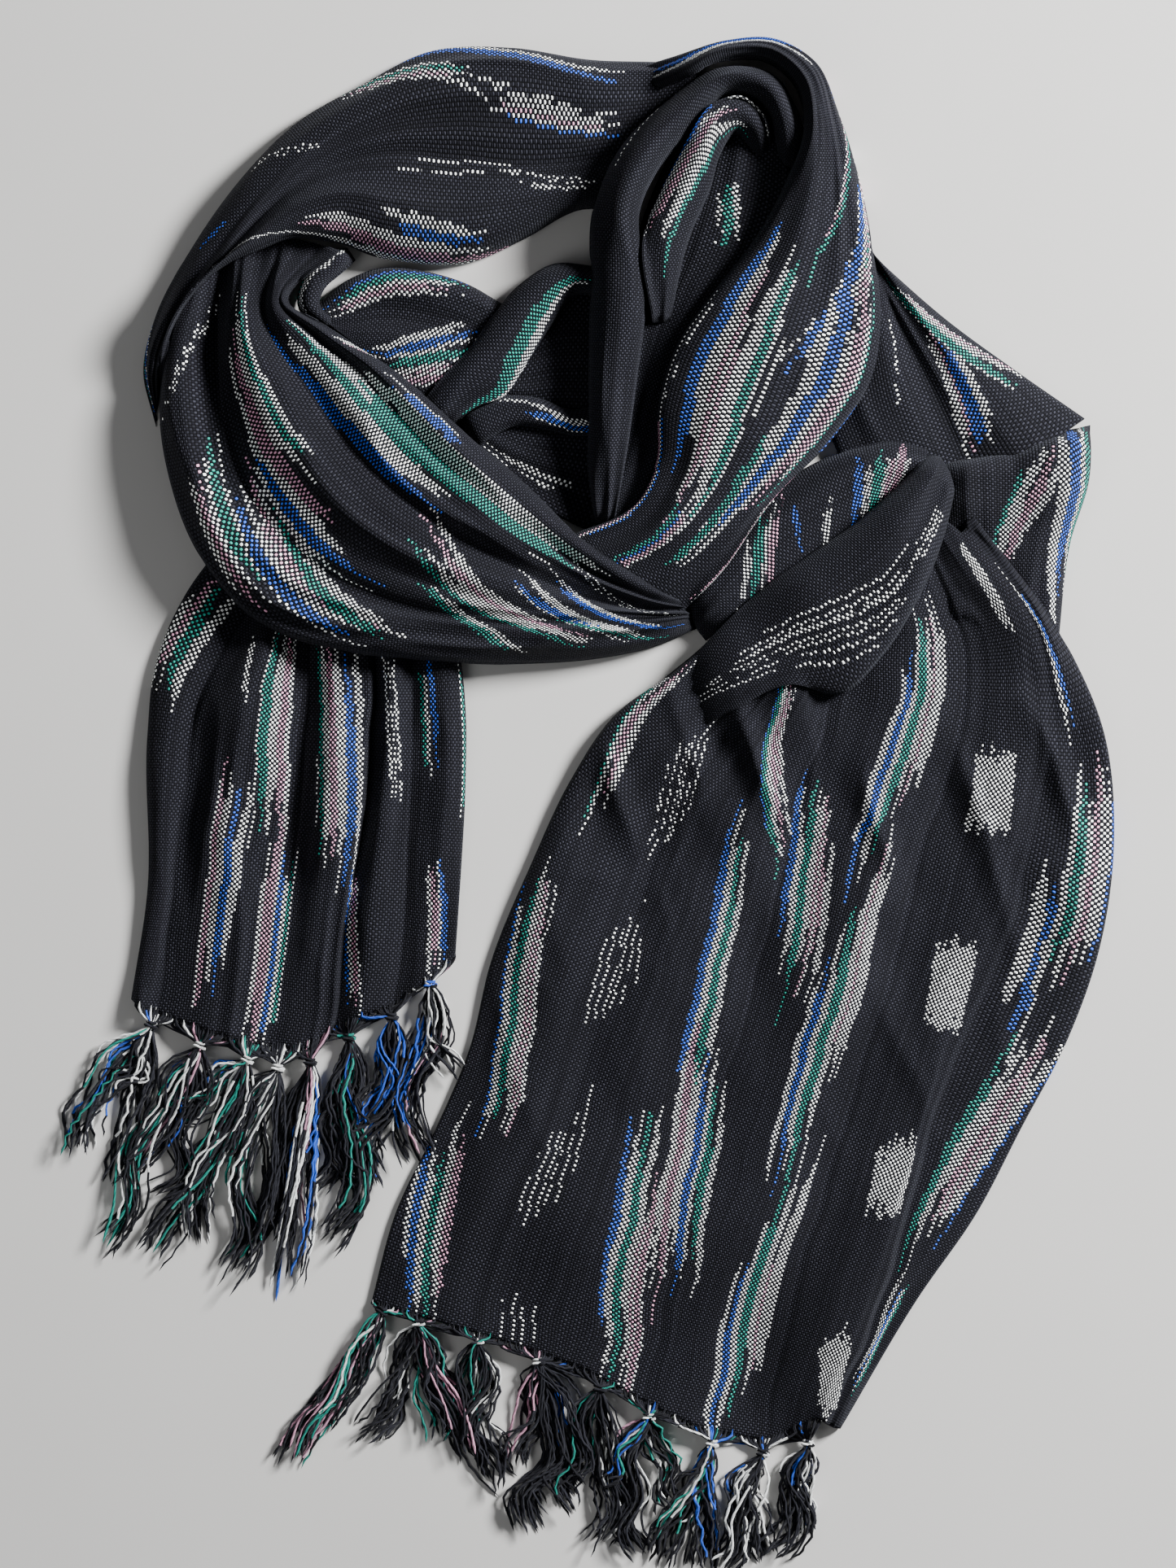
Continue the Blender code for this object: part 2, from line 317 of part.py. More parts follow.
# Share is a tassel's place along its hem from the left, heading the way it lies in degrees, 0 along +X and 90
# along +Y, and fan its spread in degrees.
TASSELS = (
    Tassel("right_tail", 0.045, 234, 8.6, 14), Tassel("right_tail", 0.13, 256, 6.0, 10),
    Tassel("right_tail", 0.24, 276, 9.0, 9), Tassel("right_tail", 0.36, 281, 9.0, 8),
    Tassel("right_tail", 0.49, 279, 7.6, 8), Tassel("right_tail", 0.62, 272, 6.6, 8),
    Tassel("right_tail", 0.75, 266, 6.2, 8), Tassel("right_tail", 0.88, 258, 5.9, 10),
    Tassel("left_tail", 0.04, 246, 6.0, 10), Tassel("left_tail", 0.15, 252, 10.6, 8),
    Tassel("left_tail", 0.27, 258, 10.6, 7), Tassel("left_tail", 0.38, 262, 10.7, 6),
    Tassel("left_tail", 0.49, 266, 10.8, 6), Tassel("left_tail", 0.61, 267, 10.0, 6),
    Tassel("left_tail", 0.74, 267, 8.0, 6), Tassel("left_tail", 0.9, 264, 5.8, 7),
)


def smooth_path(points, places):
    """A curve through the points, read at the given fractions of its length.

    Between two points it is a cubic whose end slopes are the average of its neighbours' chords.
    """
    points = np.array(points, dtype=float)
    chord = np.linalg.norm(np.diff(points, axis=0), axis=1)
    knot = np.concatenate(([0.0], np.cumsum(chord)))
    slope = np.gradient(points, knot, axis=0)
    fine = np.linspace(0.0, knot[-1], 40 * len(points))
    i = np.clip(np.searchsorted(knot, fine, side="right") - 1, 0, len(points) - 2)
    h = chord[i][:, None]
    t = ((fine - knot[i]) / chord[i])[:, None]
    curve = ((2 * t**3 - 3 * t**2 + 1) * points[i] + (t**3 - 2 * t**2 + t) * h * slope[i]
             + (3 * t**2 - 2 * t**3) * points[i + 1] + (t**3 - t**2) * h * slope[i + 1])
    length = np.concatenate(([0.0], np.cumsum(np.linalg.norm(np.diff(curve, axis=0), axis=1))))
    return np.stack([np.interp(places * length[-1], length, curve[:, k]) for k in (0, 1)], axis=1)


def spread(values, places):
    """A few heights spread evenly along the cloth and eased between, read at the given fractions."""
    place = places * (len(values) - 1.0)
    i = np.minimum(place.astype(int), len(values) - 2)
    t = place - i
    t = t * t * (3.0 - 2.0 * t)
    values = np.array(values, dtype=float)
    return values[i] * (1.0 - t) + values[i + 1] * t


def profile(kind_a, kind_b, s):
    """How far the height has gone from fold a to fold b at the share s of the way, from 0 to 1.

    Soft folds follow a half cosine. Towards an edge or into a valley the fall is part of a round roll,
    a quarter circle that starts level at the crest.
    """
    soft = 0.5 - 0.5 * np.cos(math.pi * s)
    if kind_a == SLOPE or kind_b == SLOPE:
        soft = s * (1.5 - 0.5 * s * s) if kind_b == SLOPE else s**1.6
    falling = 1.0 - np.sqrt(np.clip(1.0 - s * s, 0.0, 1.0))
    rising = np.sqrt(np.clip(1.0 - (1.0 - s) ** 2, 0.0, 1.0))
    at_a, at_b = ROUND_SHARE.get(kind_a, 0.0), ROUND_SHARE.get(kind_b, 0.0)
    return (1.0 - at_a - at_b) * soft + at_b * falling + at_a * rising


def surface(stretch, cell_along, cell_across):
    """The stretch's top as a grid of points in cm, with the folds that each row of points lies between."""
    lines = [smooth_path(f.path, np.linspace(0.0, 1.0, 120)) for f in stretch.folds]
    longest = max(np.linalg.norm(np.diff(line, axis=0), axis=1).sum() for line in lines)
    rows = max(3, int(round(longest / cell_along)) + 1)
    places = np.linspace(0.0, 1.0, rows) ** (1.0 if stretch.filled else START_CROWDING)
    lines = [smooth_path(f.path, places) for f in stretch.folds]
    lifts = [spread(f.lift, places) for f in stretch.folds]
    columns, fold_of = [], []
    for k, (a, b) in enumerate(zip(stretch.folds[:-1], stretch.folds[1:])):
        width = np.linalg.norm(lines[k + 1] - lines[k], axis=1).mean()
        steps = max(1 if a.kind == STEP else 2, int(round(width / cell_across)))
        for s in np.arange(steps) / steps:
            if b.kind == EDGE:
                s = math.sin(0.5 * math.pi * s)
            if a.kind == EDGE:
                s = 1.0 - math.cos(0.5 * math.pi * s)
            plan = lines[k] * (1.0 - s) + lines[k + 1] * s
            height = lifts[k] + (lifts[k + 1] - lifts[k]) * profile(a.kind, b.kind, np.array(s))
            columns.append(np.column_stack([plan, height]))
            fold_of.append(k if s == 0.0 else -1)
    columns.append(np.column_stack([lines[-1], lifts[-1]]))
    fold_of.append(len(lines) - 1)
    return np.stack(columns, axis=1), fold_of


def grid_faces(rows, columns):
    """The four corners of each cell of a grid of points, counted row by row."""
    r, c = np.meshgrid(np.arange(rows - 1), np.arange(columns - 1), indexing="ij")
    a = (r * columns + c).ravel()
    return np.stack([a, a + 1, a + columns + 1, a + columns], axis=1)


def height_below(trees, x, y):
    """The highest point that the given surfaces reach within a short way of (x, y), or None off them all."""
    best = None
    for ring, turns in ((0.0, 1), (0.5 * CLEARANCE_REACH, 6), (CLEARANCE_REACH, 12)):
        for k in range(turns):
            angle = 2.0 * math.pi * k / turns
            start = Vector((x + ring * math.cos(angle), y + ring * math.sin(angle), SKY))
            for tree in trees:
                hit = tree.ray_cast(start, Vector((0.0, 0.0, -1.0)))[0]
                if hit is not None and (best is None or hit.z > best):
                    best = hit.z
    return best


def top_tree(top):
    """A search tree over a top surface."""
    rows, columns = top.shape[:2]
    quads = grid_faces(rows, columns)
    faces = [(a, b, c) for a, b, c, d in quads] + [(a, c, d) for a, b, c, d in quads]
    return BVHTree.FromPolygons([tuple(p) for p in top.reshape(-1, 3)], faces)


def underside(stretch, top, fold_of, trees):
    """The height of the stretch's underside below each point of its top, which it may push up.

    A filled stretch reaches the floor, and a wall follows its top. Both keep clear of the cloth they lie on,
    and a point next to one that lies on other cloth is raised with it, so that no face cuts the layer below.
    """
    rows, columns = top.shape[:2]
    base = np.zeros((rows, columns))
    if not stretch.filled:
        base = np.maximum(0.0, top[:, :, 2] - CLOTH_WALL)
        for column, k in enumerate(fold_of):
            if k >= 0 and stretch.folds[k].kind in (STEP, EDGE):
                base[:, column] = 0.0
    cleared = np.zeros((rows + 2, columns + 2))
    for r in range(rows if trees else 0):
        for c in range(columns):
            below = height_below(trees, top[r, c, 0], top[r, c, 1])
            if below is not None:
                cleared[r + 1, c + 1] = below + SEAM_GAP
    for dr in (0, 1, 2):
        for dc in (0, 1, 2):
            base = np.maximum(base, cleared[dr:dr + rows, dc:dc + columns])
    top[:, :, 2] = np.maximum(top[:, :, 2], base + CLOTH_WALL)
    return base


def solid_mesh(name, top, base):
    """One closed mesh between a top grid and its underside, in metres."""
    rows, columns = top.shape[:2]
    bottom = top.copy()
    bottom[:, :, 2] = base
    points = np.concatenate([top.reshape(-1, 3), bottom.reshape(-1, 3)]) * CM
    points[:, :2] += np.array(PLAN_SHIFT) * CM
    upper = grid_faces(rows, columns)
    lower = upper[:, ::-1] + rows * columns
    index = np.arange(rows * columns).reshape(rows, columns)
    rim = np.concatenate([index[0, :], index[1:, -1], index[-1, -2::-1], index[-2:0:-1, 0]])
    after = np.roll(rim, -1)
    wall = np.stack([rim, rim + rows * columns, after + rows * columns, after], axis=1)
    mesh = bpy.data.meshes.new(name)
    mesh.from_pydata([tuple(p) for p in points], [], [tuple(int(i) for i in f)
                                                     for f in np.concatenate([upper, lower, wall])])
    faces_out(mesh)
    return mesh


def faces_out(mesh):
    """Splits the faces into triangles and points them all outwards."""
    work = bmesh.new()
    work.from_mesh(mesh)
    bmesh.ops.triangulate(work, faces=work.faces[:])
    bmesh.ops.recalc_face_normals(work, faces=work.faces[:])
    if work.calc_volume(signed=True) < 0.0:
        bmesh.ops.reverse_faces(work, faces=work.faces[:])
    work.to_mesh(mesh)
    work.free()


def cloth_material(name, colour, roughness):
    """A plain finish with one colour and roughness."""
    material = bpy.data.materials.new(name)
    material.use_nodes = True
    shader = material.node_tree.nodes["Principled BSDF"]
    shader.inputs["Base Color"].default_value = (*colour, 1.0)
    shader.inputs["Roughness"].default_value = roughness
    shader.inputs["Metallic"].default_value = 0.0
    return material


def add_object(name, mesh, material):
    """A named object in the scene with its own material."""
    thing = bpy.data.objects.new(name, mesh)
    thing.data.materials.append(material)
    bpy.context.scene.collection.objects.link(thing)
    return thing


def build_stretches():
    """Every stretch from the floor up: all the tops first, then each underside over what it lies on."""
    tops = {s.name: surface(s, CELL_ALONG if s.filled else CELL_ALONG_TAIL, CELL_ACROSS) for s in STRETCHES}
    for stretch in STRETCHES:
        top, fold_of = tops[stretch.name]
        trees = [top_tree(tops[name][0]) for name in stretch.lies_on]
        base = underside(stretch, top, fold_of, trees)
        mesh = solid_mesh(stretch.name, top, base)
        add_object(stretch.name, mesh, cloth_material(f"cotton_{stretch.name}", (0.012, 0.012, 0.016), 0.9))
    return {name: top[-1] for name, (top, _) in tops.items()}


def strand_ring(centre, along, thick):
    """The four corners of a strand's section, square to its run in plan."""
    side = np.array([-along[1], along[0], 0.0])
    up = np.array([0.0, 0.0, 1.0])
    corners = ((-0.5, -0.5), (0.5, -0.5), (0.5, 0.5), (-0.5, 0.5))
    return [centre + side * thick * a + up * thick * b for a, b in corners]


def hem_places(hem, share, offsets):
    """The points on a hem at these distances from the one at a share of its length, and the way out of it."""
    length = np.concatenate(([0.0], np.cumsum(np.linalg.norm(np.diff(hem[:, :2], axis=0), axis=1))))
    along = length[-1] * share + offsets
    xs, ys = (np.interp(along, length, hem[:, k]) for k in (0, 1))
    places = [np.array([x, y, 0.0]) for x, y in zip(xs, ys)]
    run = (places[-1] - places[0]) / np.linalg.norm(places[-1] - places[0])
    return places, np.array([run[1], -run[0], 0.0])


def tassel_mesh(name, tassel, hem):
    """A knot with two rows of strands drawn out of its outer face.

    The knot is a block that follows the hem, and its outer face is a grid of cells. Each strand leaves from
    its own cell, parted from the next by a plain one, and swings out by its share of the fan.
    """
    head = TASSEL_HEAD
    across = np.linspace(-0.5, 0.5, 2 * STRAND_COLUMNS) * head["width"]
    back, ahead = hem_places(hem, tassel.share, across)
    points = [place + ahead * head["gap"] + np.array([0, 0, z]) for z in KNOT_LEVELS for place in back]
    points += [p + ahead * head["depth"] for p in points]
    n, m = len(across), len(KNOT_LEVELS)
    front = n * m
    faces = []
    for j in range(m - 1):
        for i in range(n - 1):
            a = j * n + i
            faces.append((a, a + n, a + n + 1, a + 1))
            root = [front + a, front + a + 1, front + a + n + 1, front + a + n]
            if i % 2 == 0 and j % 2 == 0:
                faces += strand_faces(points, root, tassel, i // 2, j // 2)
            else:
                faces.append(tuple(root))
    for j in range(m - 1):
        for i, flip in ((0, False), (n - 1, True)):
            quad = (j * n + i, front + j * n + i, front + (j + 1) * n + i, (j + 1) * n + i)
            faces.append(quad[::-1] if flip else quad)
    for i in range(n - 1):
        faces.append((i, i + 1, front + i + 1, front + i))
        top = (m - 1) * n + i
        faces.append((top, front + top, front + top + 1, top + 1))
    mesh = bpy.data.meshes.new(name)
    shifted = (np.array(points) + np.array([*PLAN_SHIFT, 0.0])) * CM
    mesh.from_pydata([tuple(p) for p in shifted], [], [tuple(int(i) for i in f) for f in faces])
    faces_out(mesh)
    return mesh


def strand_faces(points, root, tassel, column, row):
    """Adds one strand's sections to the points and returns its faces, from its root cell to its end."""
    share = column / (STRAND_COLUMNS - 1) - 0.5 + row * ROW_SHIFT
    base = np.mean([points[i] for i in root], axis=0)
    length = tassel.length * (1.0 - STRAND_UNEVEN * ((column * 2 + row) % 3))
    faces, last = [], root
    for step in range(1, STRAND_STEPS + 1):
        t = step / STRAND_STEPS
        angle = math.radians(tassel.heading + tassel.fan * share * min(1.0, 0.5 + t))
        along = np.array([math.cos(angle), math.sin(angle), 0.0])
        centre = base + along * length * t
        centre[2] = STRAND_RISE[row] - STRAND_SAG[row] * t
        ring = strand_ring(centre, along, STRAND_THICK)
        index = list(range(len(points), len(points) + 4))
        points.extend(ring)
        faces += [(last[k], last[(k + 1) % 4], index[(k + 1) % 4], index[k]) for k in range(4)]
        last = index
    faces.append(tuple(last))
    return faces


def build_tassels(hems):
    """The two knotted fringes, one object for each tassel."""
    for number, tassel in enumerate(TASSELS, start=1):
        name = f"{tassel.hem}_tassel_{number:02d}"
        mesh = tassel_mesh(name, tassel, hems[tassel.hem])
        add_object(name, mesh, cloth_material(f"yarn_{number:02d}", (0.05, 0.055, 0.07), 0.85))


def main():
    """Clears the scene and builds the shawl."""
    for thing in list(bpy.data.objects):
        bpy.data.objects.remove(thing, do_unlink=True)
    hems = build_stretches()
    build_tassels(hems)


main()
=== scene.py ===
"""The look of a rebozo shawl that lies on a flat surface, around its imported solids.

Each stretch of the cloth is a woven sheet: a surface through the same folds as the solid below it, with a
column of faces for every warp thread. The warp is dyed before it is woven, so each thread has its own colour
along its length, charted as a weaver's draft below. Plan places and heights are in centimetres, x to the right
and y away from the hems, and the origin is at the bottom centre of the shawl's box.
"""
import math
from collections import namedtuple
from itertools import groupby

import bpy
import numpy as np
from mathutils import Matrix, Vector


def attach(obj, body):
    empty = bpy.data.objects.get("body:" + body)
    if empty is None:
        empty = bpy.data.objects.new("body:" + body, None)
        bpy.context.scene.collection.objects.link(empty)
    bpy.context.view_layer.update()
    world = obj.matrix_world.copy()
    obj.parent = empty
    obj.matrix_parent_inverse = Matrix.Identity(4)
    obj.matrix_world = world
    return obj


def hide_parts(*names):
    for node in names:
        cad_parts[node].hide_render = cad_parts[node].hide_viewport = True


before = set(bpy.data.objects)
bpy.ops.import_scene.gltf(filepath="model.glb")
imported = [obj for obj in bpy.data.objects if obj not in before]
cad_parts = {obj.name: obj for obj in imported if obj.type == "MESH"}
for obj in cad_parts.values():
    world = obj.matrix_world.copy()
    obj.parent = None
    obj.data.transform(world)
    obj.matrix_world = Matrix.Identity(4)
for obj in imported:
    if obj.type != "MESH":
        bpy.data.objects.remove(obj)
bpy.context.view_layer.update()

CM = 0.01
PLAN_SHIFT = (0.0, 0.45)      # cm, brings the middle of the shawl's box to the origin
THREAD = 0.12                 # cm, from one warp thread to the next
ROW_STEP = 0.3                # cm, length of a face along the warp
CLOTH_THICK = 0.07            # cm
LAYER_GAP = 0.12              # cm, between a stretch and what it lies on
SKIRT_STEPS = 5               # faces in the part of an edge that rolls under
SKIRT_BULGE = 0.10            # cm, how far a rolled edge stands out
FLOOR_CLEAR = 0.09            # cm, lowest that the cloth's upper face gets
SEED = 7

CREST, VALLEY, SLOPE, EDGE, STEP = "crest", "valley", "slope", "edge", "step"
ROUND_SHARE = {EDGE: 0.85, VALLEY: 0.35}   # how much of the fall to this kind of fold is a round roll
Fold = namedtuple("Fold", "name kind lift path")
Stretch = namedtuple("Stretch", "name filled lies_on folds")
Spear = namedtuple("Spear", "warps start end slant", defaults=[0.0])
Bunch = namedtuple("Bunch", "knot coil curl ends")

MAP_CELL = 0.25               # cm, a square of the map of heights
MAP_LOW = (-30.0, -42.0)      # cm, its corner
MAP_CELLS = (240, 336)

CAMERA_HEIGHT = 2.4           # m
FRAME_HIGH = 0.7708           # m, height of the floor that the camera sees
SENSOR_WIDE = 36.0            # mm
FLOOR_HALF = 3.0              # m
FRAME_MIDDLE = (-0.18, 0.66)  # cm
LAMPS = (                     # name, place in m, width in m, watts
    ("key", (1.6, 0.95, 1.15), 0.6, 140.0),
    ("fill", (-1.3, -0.6, 1.6), 1.2, 6.0),
)
SKY_LIGHT = 0.09

LENS = 0.05                   # share of a spear's length that its outer threads stop short by
POINT_SHARE = 0.19            # length of the point that each stripe of a spear ends in, as a share of the spear
LONGEST_POINT = 2.6           # cm
PLAIN_POINT = 0.3             # the same for a spear in one colour, as a share of the others
LONE_SHARE = 0.10             # share of the threads that run on past their spear's end
FULL_LENS = 12.0              # threads, a narrower spear is blunter
FULL_POINT = 4.0              # threads, a narrower stripe is blunter
RAGGED = 0.2                  # cm, how unevenly a spear's neighbouring threads start and stop
FEATHER = 1.4                 # cm, length over which the dye breaks up at a spear's end
DASH = 0.8                    # cm, length of a short dyed run
DASH_GAPS = 0.28              # share of a dashed thread's random runs that stay undyed, about
MOST_THREADS = 64             # in one spear
PINK_SHARE = 0.75             # share of a pink stripe's threads that are pink and not white

# Share of the charted threads of a stripe that show, where folds hide the others.
BUNCHED = {"right_tail": 0.66, "left_tail": 0.72, "lower_band": 0.60, "top_arc": 0.55, "right_arc": 0.42,
           "inner_leaf": 0.6, "inner_hem": 0.7, "inner_loop": 0.7, "hump_patch": 0.75, "far_band": 0.7,
           "else": 0.8}

# How deep a stretch's creases and its slow swells are, in cm.
RUFFLES = {
    "else": (0.14, 0.14),
    "right_tail": (0.04, 0.50),
    "left_tail": (0.13, 0.28),
    "lower_band": (0.32, 0.26),
    "top_arc": (0.18, 0.24),
    "right_arc": (0.18, 0.20),
    "hood": (0.08, 0.16),
}

# How far from its start and from its end a stretch begins to roll under, and how deep it goes, in cm.
TUCKS = {
    "right_arc": (0.0, 4.0, 3.2),
    "hump_roll": (3.0, 1.0, 3.0),
    "hump_patch": (0.5, 2.5, 2.6),
    "hood": (1.2, 3.0, 2.6),
    "lower_band": (0.0, 1.6, 1.6),
    "top_arc": (0.6, 3.0, 2.0),
    "neck": (2.0, 0.0, 1.8),
    "shoulder": (1.2, 0.0, 2.2),
    "inner_roll": (1.0, 0.5, 1.6),
    "inner_loop": (1.0, 0.6, 1.6),
    "inner_hem": (1.0, 1.0, 1.0),
}

# Slanted creases where the loop pulls at a flat end, in cm: their height, from which y up to which y they grow,
# and how far the cloth's puckers sway a thread sideways.
PULLS = {"right_tail": (0.34, -20.0, 0.0, 0.16), "left_tail": (0.10, -16.0, 0.0, 0.10)}
PULL_LEAN = (0.94, 0.33)      # the cosine and sine of these creases' slant
WAVES = {                     # cm, about how wide and how long one wave is, across and along the warp
    "crease": (1.1, 8.0), "fine crease": (0.5, 3.0), "swell": (3.4, 6.0), "slanted crease": (2.3, 6.5),
    "pucker": (2.4, 1.9), "fading": (0.3, 1.2),
}
NOISE_MARGIN = 40.0           # cells, keeps a lattice's places above zero
FADING = 0.16                 # how unevenly the dye has faded
FLAT_EDGE = 1.2               # cm, width along a stretch's edges over which all ripples die out

YARN_RADIUS = 0.060           # cm
YARN_SIDES = 6
YARN_RINGS = 28
PLY_PITCH = 0.42              # cm, along the yarn for one turn of its two plies
PLY_DEPTH = 0.16              # share of its radius that a yarn is fatter and thinner by
GROUP_WIDE = 0.95             # cm, half the width of a group of yarns
HEM_REACH = 8.0               # threads of the hem each way, from which a knot gathers its yarns, about
STRAY = 0.16                  # cm, how far a yarn strays from its group
UNEVEN = 0.05                 # share of its length that a yarn is longer or shorter by
CRIMP = 0.045                 # cm
KNOT_RISE = 0.28              # cm
COIL_LONG = 0.42              # cm, along the knot
COIL_TURNS = 2.2
TASSELS = {"right_tail": range(1, 9), "left_tail": range(9, 17)}    # the numbers of each end's solid tassels

# The stretches of the cloth. Each is a surface through its folds, whose paths are plan places in cm from one
# end of the stretch to the other, with heights in cm spread evenly along them. It lies on the stretches that are
# named before its folds.
LEFT_TAIL = Stretch("left_tail", False, (), (
    Fold("left edge", EDGE, (0.35, 0.3), (
        (-18, 12.6), (-19.9, 10), (-21.4, 6.5), (-21.8, 3), (-21.8, -4.6), (-22.6, -9.9))),
    Fold("edge swell", CREST, (1.1, 0.9, 0.6), (
        (-16.8, 11.8), (-18.6, 8.8), (-20.2, 5.6), (-20.8, 2.4), (-21.1, -4.4), (-22, -10.3))),
    Fold("first valley", VALLEY, (0.5, 0.32, 0.3), (
        (-15.6, 11), (-17.1, 8.6), (-19, 5.2), (-19.7, 1.6), (-20.5, -4.6), (-21.2, -10.6))),
    Fold("broad ridge", CREST, (1.2, 1.7, 1.3, 0.9), (
        (-14.7, 10.6), (-15.7, 8.2), (-16.7, 5.2), (-17.2, 1.6), (-18, -5), (-18.7, -11.5))),
    Fold("second valley", VALLEY, (0.6, 0.32, 0.3), (
        (-13.6, 10.2), (-13.8, 8), (-13.9, 5.2), (-14.1, 1.6), (-14.9, -5.2), (-15.9, -12.2))),
    Fold("middle ridge", CREST, (1.2, 1.6, 1.2, 0.8), (
        (-12.4, 10), (-12.4, 7.8), (-12.4, 5), (-12.5, 1.6), (-13.3, -5), (-14.1, -12.3))),
    Fold("layer edge", STEP, (1.3, 1.1, 0.7), (
        (-11.1, 9.8), (-10.95, 7.2), (-10.95, 4.6), (-11.1, 1.4), (-12.1, -5), (-12.9, -11.4))),
    Fold("under the layer edge", VALLEY, (0.5, 0.32, 0.3), (
        (-10.8, 9.8), (-10.65, 7.2), (-10.65, 4.6), (-10.8, 1.4), (-11.8, -5), (-12.6, -11.2))),
    Fold("third ridge", CREST, (1.3, 1.2, 0.8), (
        (-9.8, 9.6), (-9.8, 7), (-9.8, 4.4), (-9.9, 1.2), (-10.7, -4.8), (-11.2, -10.6))),
    Fold("third valley", VALLEY, (0.6, 0.32, 0.3), (
        (-8.9, 9.4), (-8.85, 6.8), (-8.8, 4), (-8.85, 1), (-9.2, -4.6), (-9.7, -10.2))),
    Fold("last ridge", CREST, (1.4, 1.3, 0.7), (
        (-7.7, 9.2), (-7.4, 6.6), (-7.2, 4), (-7.2, 1), (-7.5, -4.2), (-7.9, -8.8))),
    Fold("right edge", EDGE, (0.4, 0.3), (
        (-6.9, 9), (-6.4, 6.4), (-6.2, 4), (-6.2, 1), (-6.45, -4), (-6.7, -7.8))),
))

RIGHT_TAIL = Stretch("right_tail", False, ("shoulder", "neck"), (
    Fold("left edge", EDGE, (1.7, 0.9, 0.4, 0.3, 0.3, 0.3), (
        (6.9, 8.6), (4.2, 6.2), (1.2, 4), (-1, 0.8), (-3, -3.4), (-4.9, -8), (-6, -12.4), (-7.6, -16.2),
        (-9.6, -20.4), (-10.8, -24.8))),
    Fold("left swell", CREST, (2.1, 1.5, 1.1, 0.9, 0.8, 0.5), (
        (8.8, 8.5), (6, 5.4), (3.6, 2.6), (1.2, -0.8), (-0.8, -5), (-2.2, -9.2), (-3.4, -13.4), (-5.1, -17.8),
        (-6.8, -22), (-7.8, -25.6))),
    Fold("soft valley", VALLEY, (1.8, 1, 0.7, 0.7, 0.7, 0.45), (
        (10.4, 8.2), (7.9, 4.6), (5.8, 1.8), (3.8, -1.6), (2.2, -5.4), (0.9, -9.4), (-0.4, -13.4), (-2, -18),
        (-3.6, -22.4), (-4.7, -26.6))),
    Fold("middle swell", CREST, (2, 1.4, 1.4, 1.2, 1.2, 0.7), (
        (12, 7.8), (9.7, 4), (8.3, 1), (7.1, -2.4), (5.9, -6.6), (4.6, -10.8), (3.4, -15), (2.1, -19.2),
        (0.8, -23.4), (-0.3, -28))),
    Fold("hollow below the roll", VALLEY, (1.2, 0.6, 0.6, 0.8, 0.9, 0.5), (
        (12.8, 9.6), (11.6, 4), (10.5, 1), (9.7, -2.4), (8.7, -6.6), (7.6, -10.6), (6.3, -14.8), (5.1, -19),
        (4, -23.2), (2.6, -29.6))),
    Fold("stripe swell", CREST, (1.9, 1.4, 1.2, 1.2, 1.1, 0.7), (
        (14.8, 11.4), (15.5, 6), (14.4, 1.6), (13.3, -2.2), (12.2, -6.6), (10.9, -10.8), (9.6, -14.8),
        (8.4, -18.8), (7.1, -22.8), (5.6, -31))),
    Fold("far hollow", VALLEY, (1.6, 0.9, 0.6, 0.6, 0.6, 0.4), (
        (16, 13.2), (18.2, 6.8), (17.6, 2), (16.4, -2), (15.2, -6.6), (14, -10.8), (12.8, -14.8), (11.5, -18.8),
        (10.2, -23), (8.4, -31.6))),
    Fold("patch ridge", CREST, (2.4, 1.5, 1.2, 1.4, 1.4, 0.9), (
        (17.2, 13.6), (20.6, 7.8), (21.2, 2.6), (20.4, -2), (19.1, -6.8), (17.6, -11), (16.2, -15), (15.2, -19),
        (13.7, -23.6), (11, -30.4))),
    Fold("pleat edge", STEP, (2.3, 1.3, 1, 1.2, 1.2, 0.8), (
        (18, 12.9), (21.2, 8), (21.9, 2.8), (21.2, -2), (19.9, -6.9), (18.3, -11), (16.7, -15), (15.6, -19.1),
        (14.1, -23.8), (11.4, -30.6))),
    Fold("under the pleat", VALLEY, (2.2, 1.2, 0.85, 0.7, 0.4, 0.3), (
        (18.2, 13.1), (21.6, 8.1), (22.3, 2.9), (21.6, -2), (20.3, -7), (18.7, -11.1), (17.05, -15.1),
        (15.95, -19.3), (14.4, -24), (11.7, -30.8))),
    Fold("right swell", CREST, (2.1, 1.2, 1.1, 0.9, 0.6, 0.4), (
        (18.3, 13.4), (22.1, 8.2), (23.6, 3.2), (23.6, -2), (22.6, -7.4), (20.8, -11.8), (18.9, -15.8),
        (17.2, -19.6), (15.2, -24.2), (11.95, -30.9))),
    Fold("right edge", EDGE, (1.9, 0.9, 0.5, 0.3, 0.3, 0.3), (
        (18.6, 13.7), (22.9, 8), (25.1, 3), (25.6, -1.6), (24.9, -7.4), (23.3, -12), (21.1, -16.2),
        (18.9, -20.4), (16, -24.6), (12.2, -31))),
))

